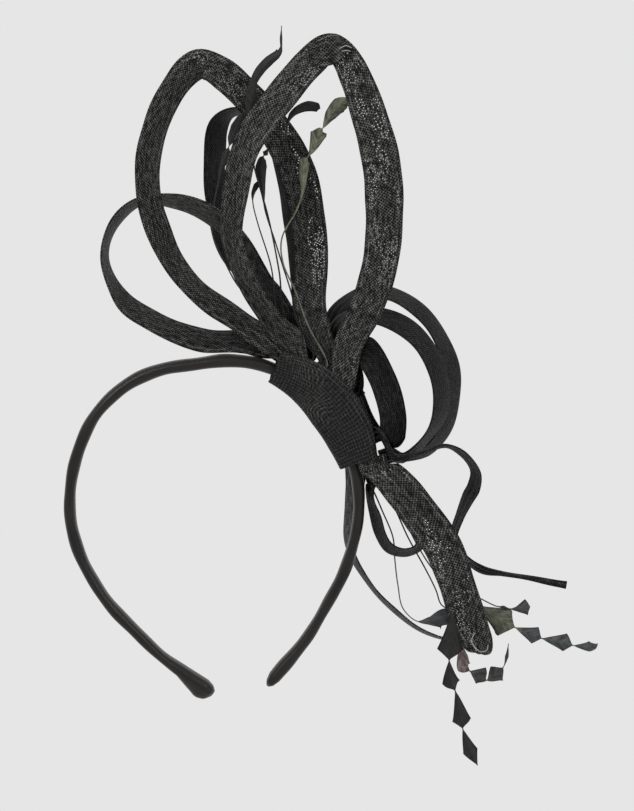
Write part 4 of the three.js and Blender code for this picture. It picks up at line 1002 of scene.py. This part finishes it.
def sweep():
    """A floor that bends up into a backdrop: a flat run, a quarter circle and a rise."""
    bend = np.linspace(0, np.pi / 2, 24)
    curve_y = BACKDROP_FROM + BACKDROP_BEND * np.sin(bend)
    curve_z = BACKDROP_BEND - BACKDROP_BEND * np.cos(bend)
    y = np.concatenate([[-6.0], curve_y, [BACKDROP_FROM + BACKDROP_BEND]])
    z = np.concatenate([[0], curve_z, [BACKDROP_TOP]]) + FLOOR_Z
    x = np.linspace(-8, 8, 9)
    grid = np.stack([x[None, :] + 0 * y[:, None], y[:, None] + 0 * x, z[:, None] + 0 * x], axis=-1)
    return surface("pale_floor", grid, grid[..., :2])


floor = sweep()
paper = bpy.data.materials.new("pale_paper")
paper.use_nodes = True
paper_shader = paper.node_tree.nodes["Principled BSDF"]
paper_shader.inputs["Base Color"].default_value = (0, 0, 0, 1)
paper_shader.inputs["Specular IOR Level"].default_value = 0
paper_shader.inputs["Emission Color"].default_value = (*PALE, 1)
paper_shader.inputs["Emission Strength"].default_value = 1
floor.data.materials.append(paper)

world = bpy.data.worlds.new("soft_room")
world.use_nodes = True
world.node_tree.nodes["Background"].inputs["Color"].default_value = (*ROOM, 1)
world.node_tree.nodes["Background"].inputs["Strength"].default_value = ROOM_STRENGTH
bpy.context.scene.world = world


def soft_light(name, place, power):
    """A large square light of that power that faces the middle of the piece."""
    lamp = bpy.data.lights.new(name, "AREA")
    lamp.size = LAMP_SIZE
    lamp.energy = power
    holder = bpy.data.objects.new(name, lamp)
    bpy.context.scene.collection.objects.link(holder)
    away = np.array(place) - np.array(LIT_MIDDLE)
    away /= np.linalg.norm(away)
    side = np.cross((0, 0, 1), away)
    side /= np.linalg.norm(side)
    up = np.cross(away, side)
    turn = np.eye(4)
    turn[:3, 0], turn[:3, 1], turn[:3, 2], turn[:3, 3] = side, up, away, place
    holder.matrix_world = Matrix(turn.tolist())


soft_light("key_light", (-0.9, -1.3, 1.3), 21)
soft_light("fill_light", (1.3, -1.1, 0.5), 9)
soft_light("top_light", (0.1, 0.1, 1.6), 6)

right = np.array((math.cos(ROLL), 0, -math.sin(ROLL)))
rolled_up = np.array((math.sin(ROLL), 0, math.cos(ROLL)))
ahead = math.cos(ELEVATION) * np.array((0, 1, 0)) - math.sin(ELEVATION) * rolled_up
up = math.cos(ELEVATION) * rolled_up + math.sin(ELEVATION) * np.array((0, 1, 0))
lens = bpy.data.cameras.new("camera")
lens.lens = LENS
lens.sensor_width = 36
lens.clip_end = 50
camera = bpy.data.objects.new("camera", lens)
bpy.context.scene.collection.objects.link(camera)
pose = np.eye(4)
pose[:3, 0], pose[:3, 1], pose[:3, 2], pose[:3, 3] = right, up, -ahead, CAMERA_PLACE
camera.matrix_world = Matrix(pose.tolist())
bpy.context.scene.camera = camera
bpy.context.scene.view_settings.view_transform = "Standard"
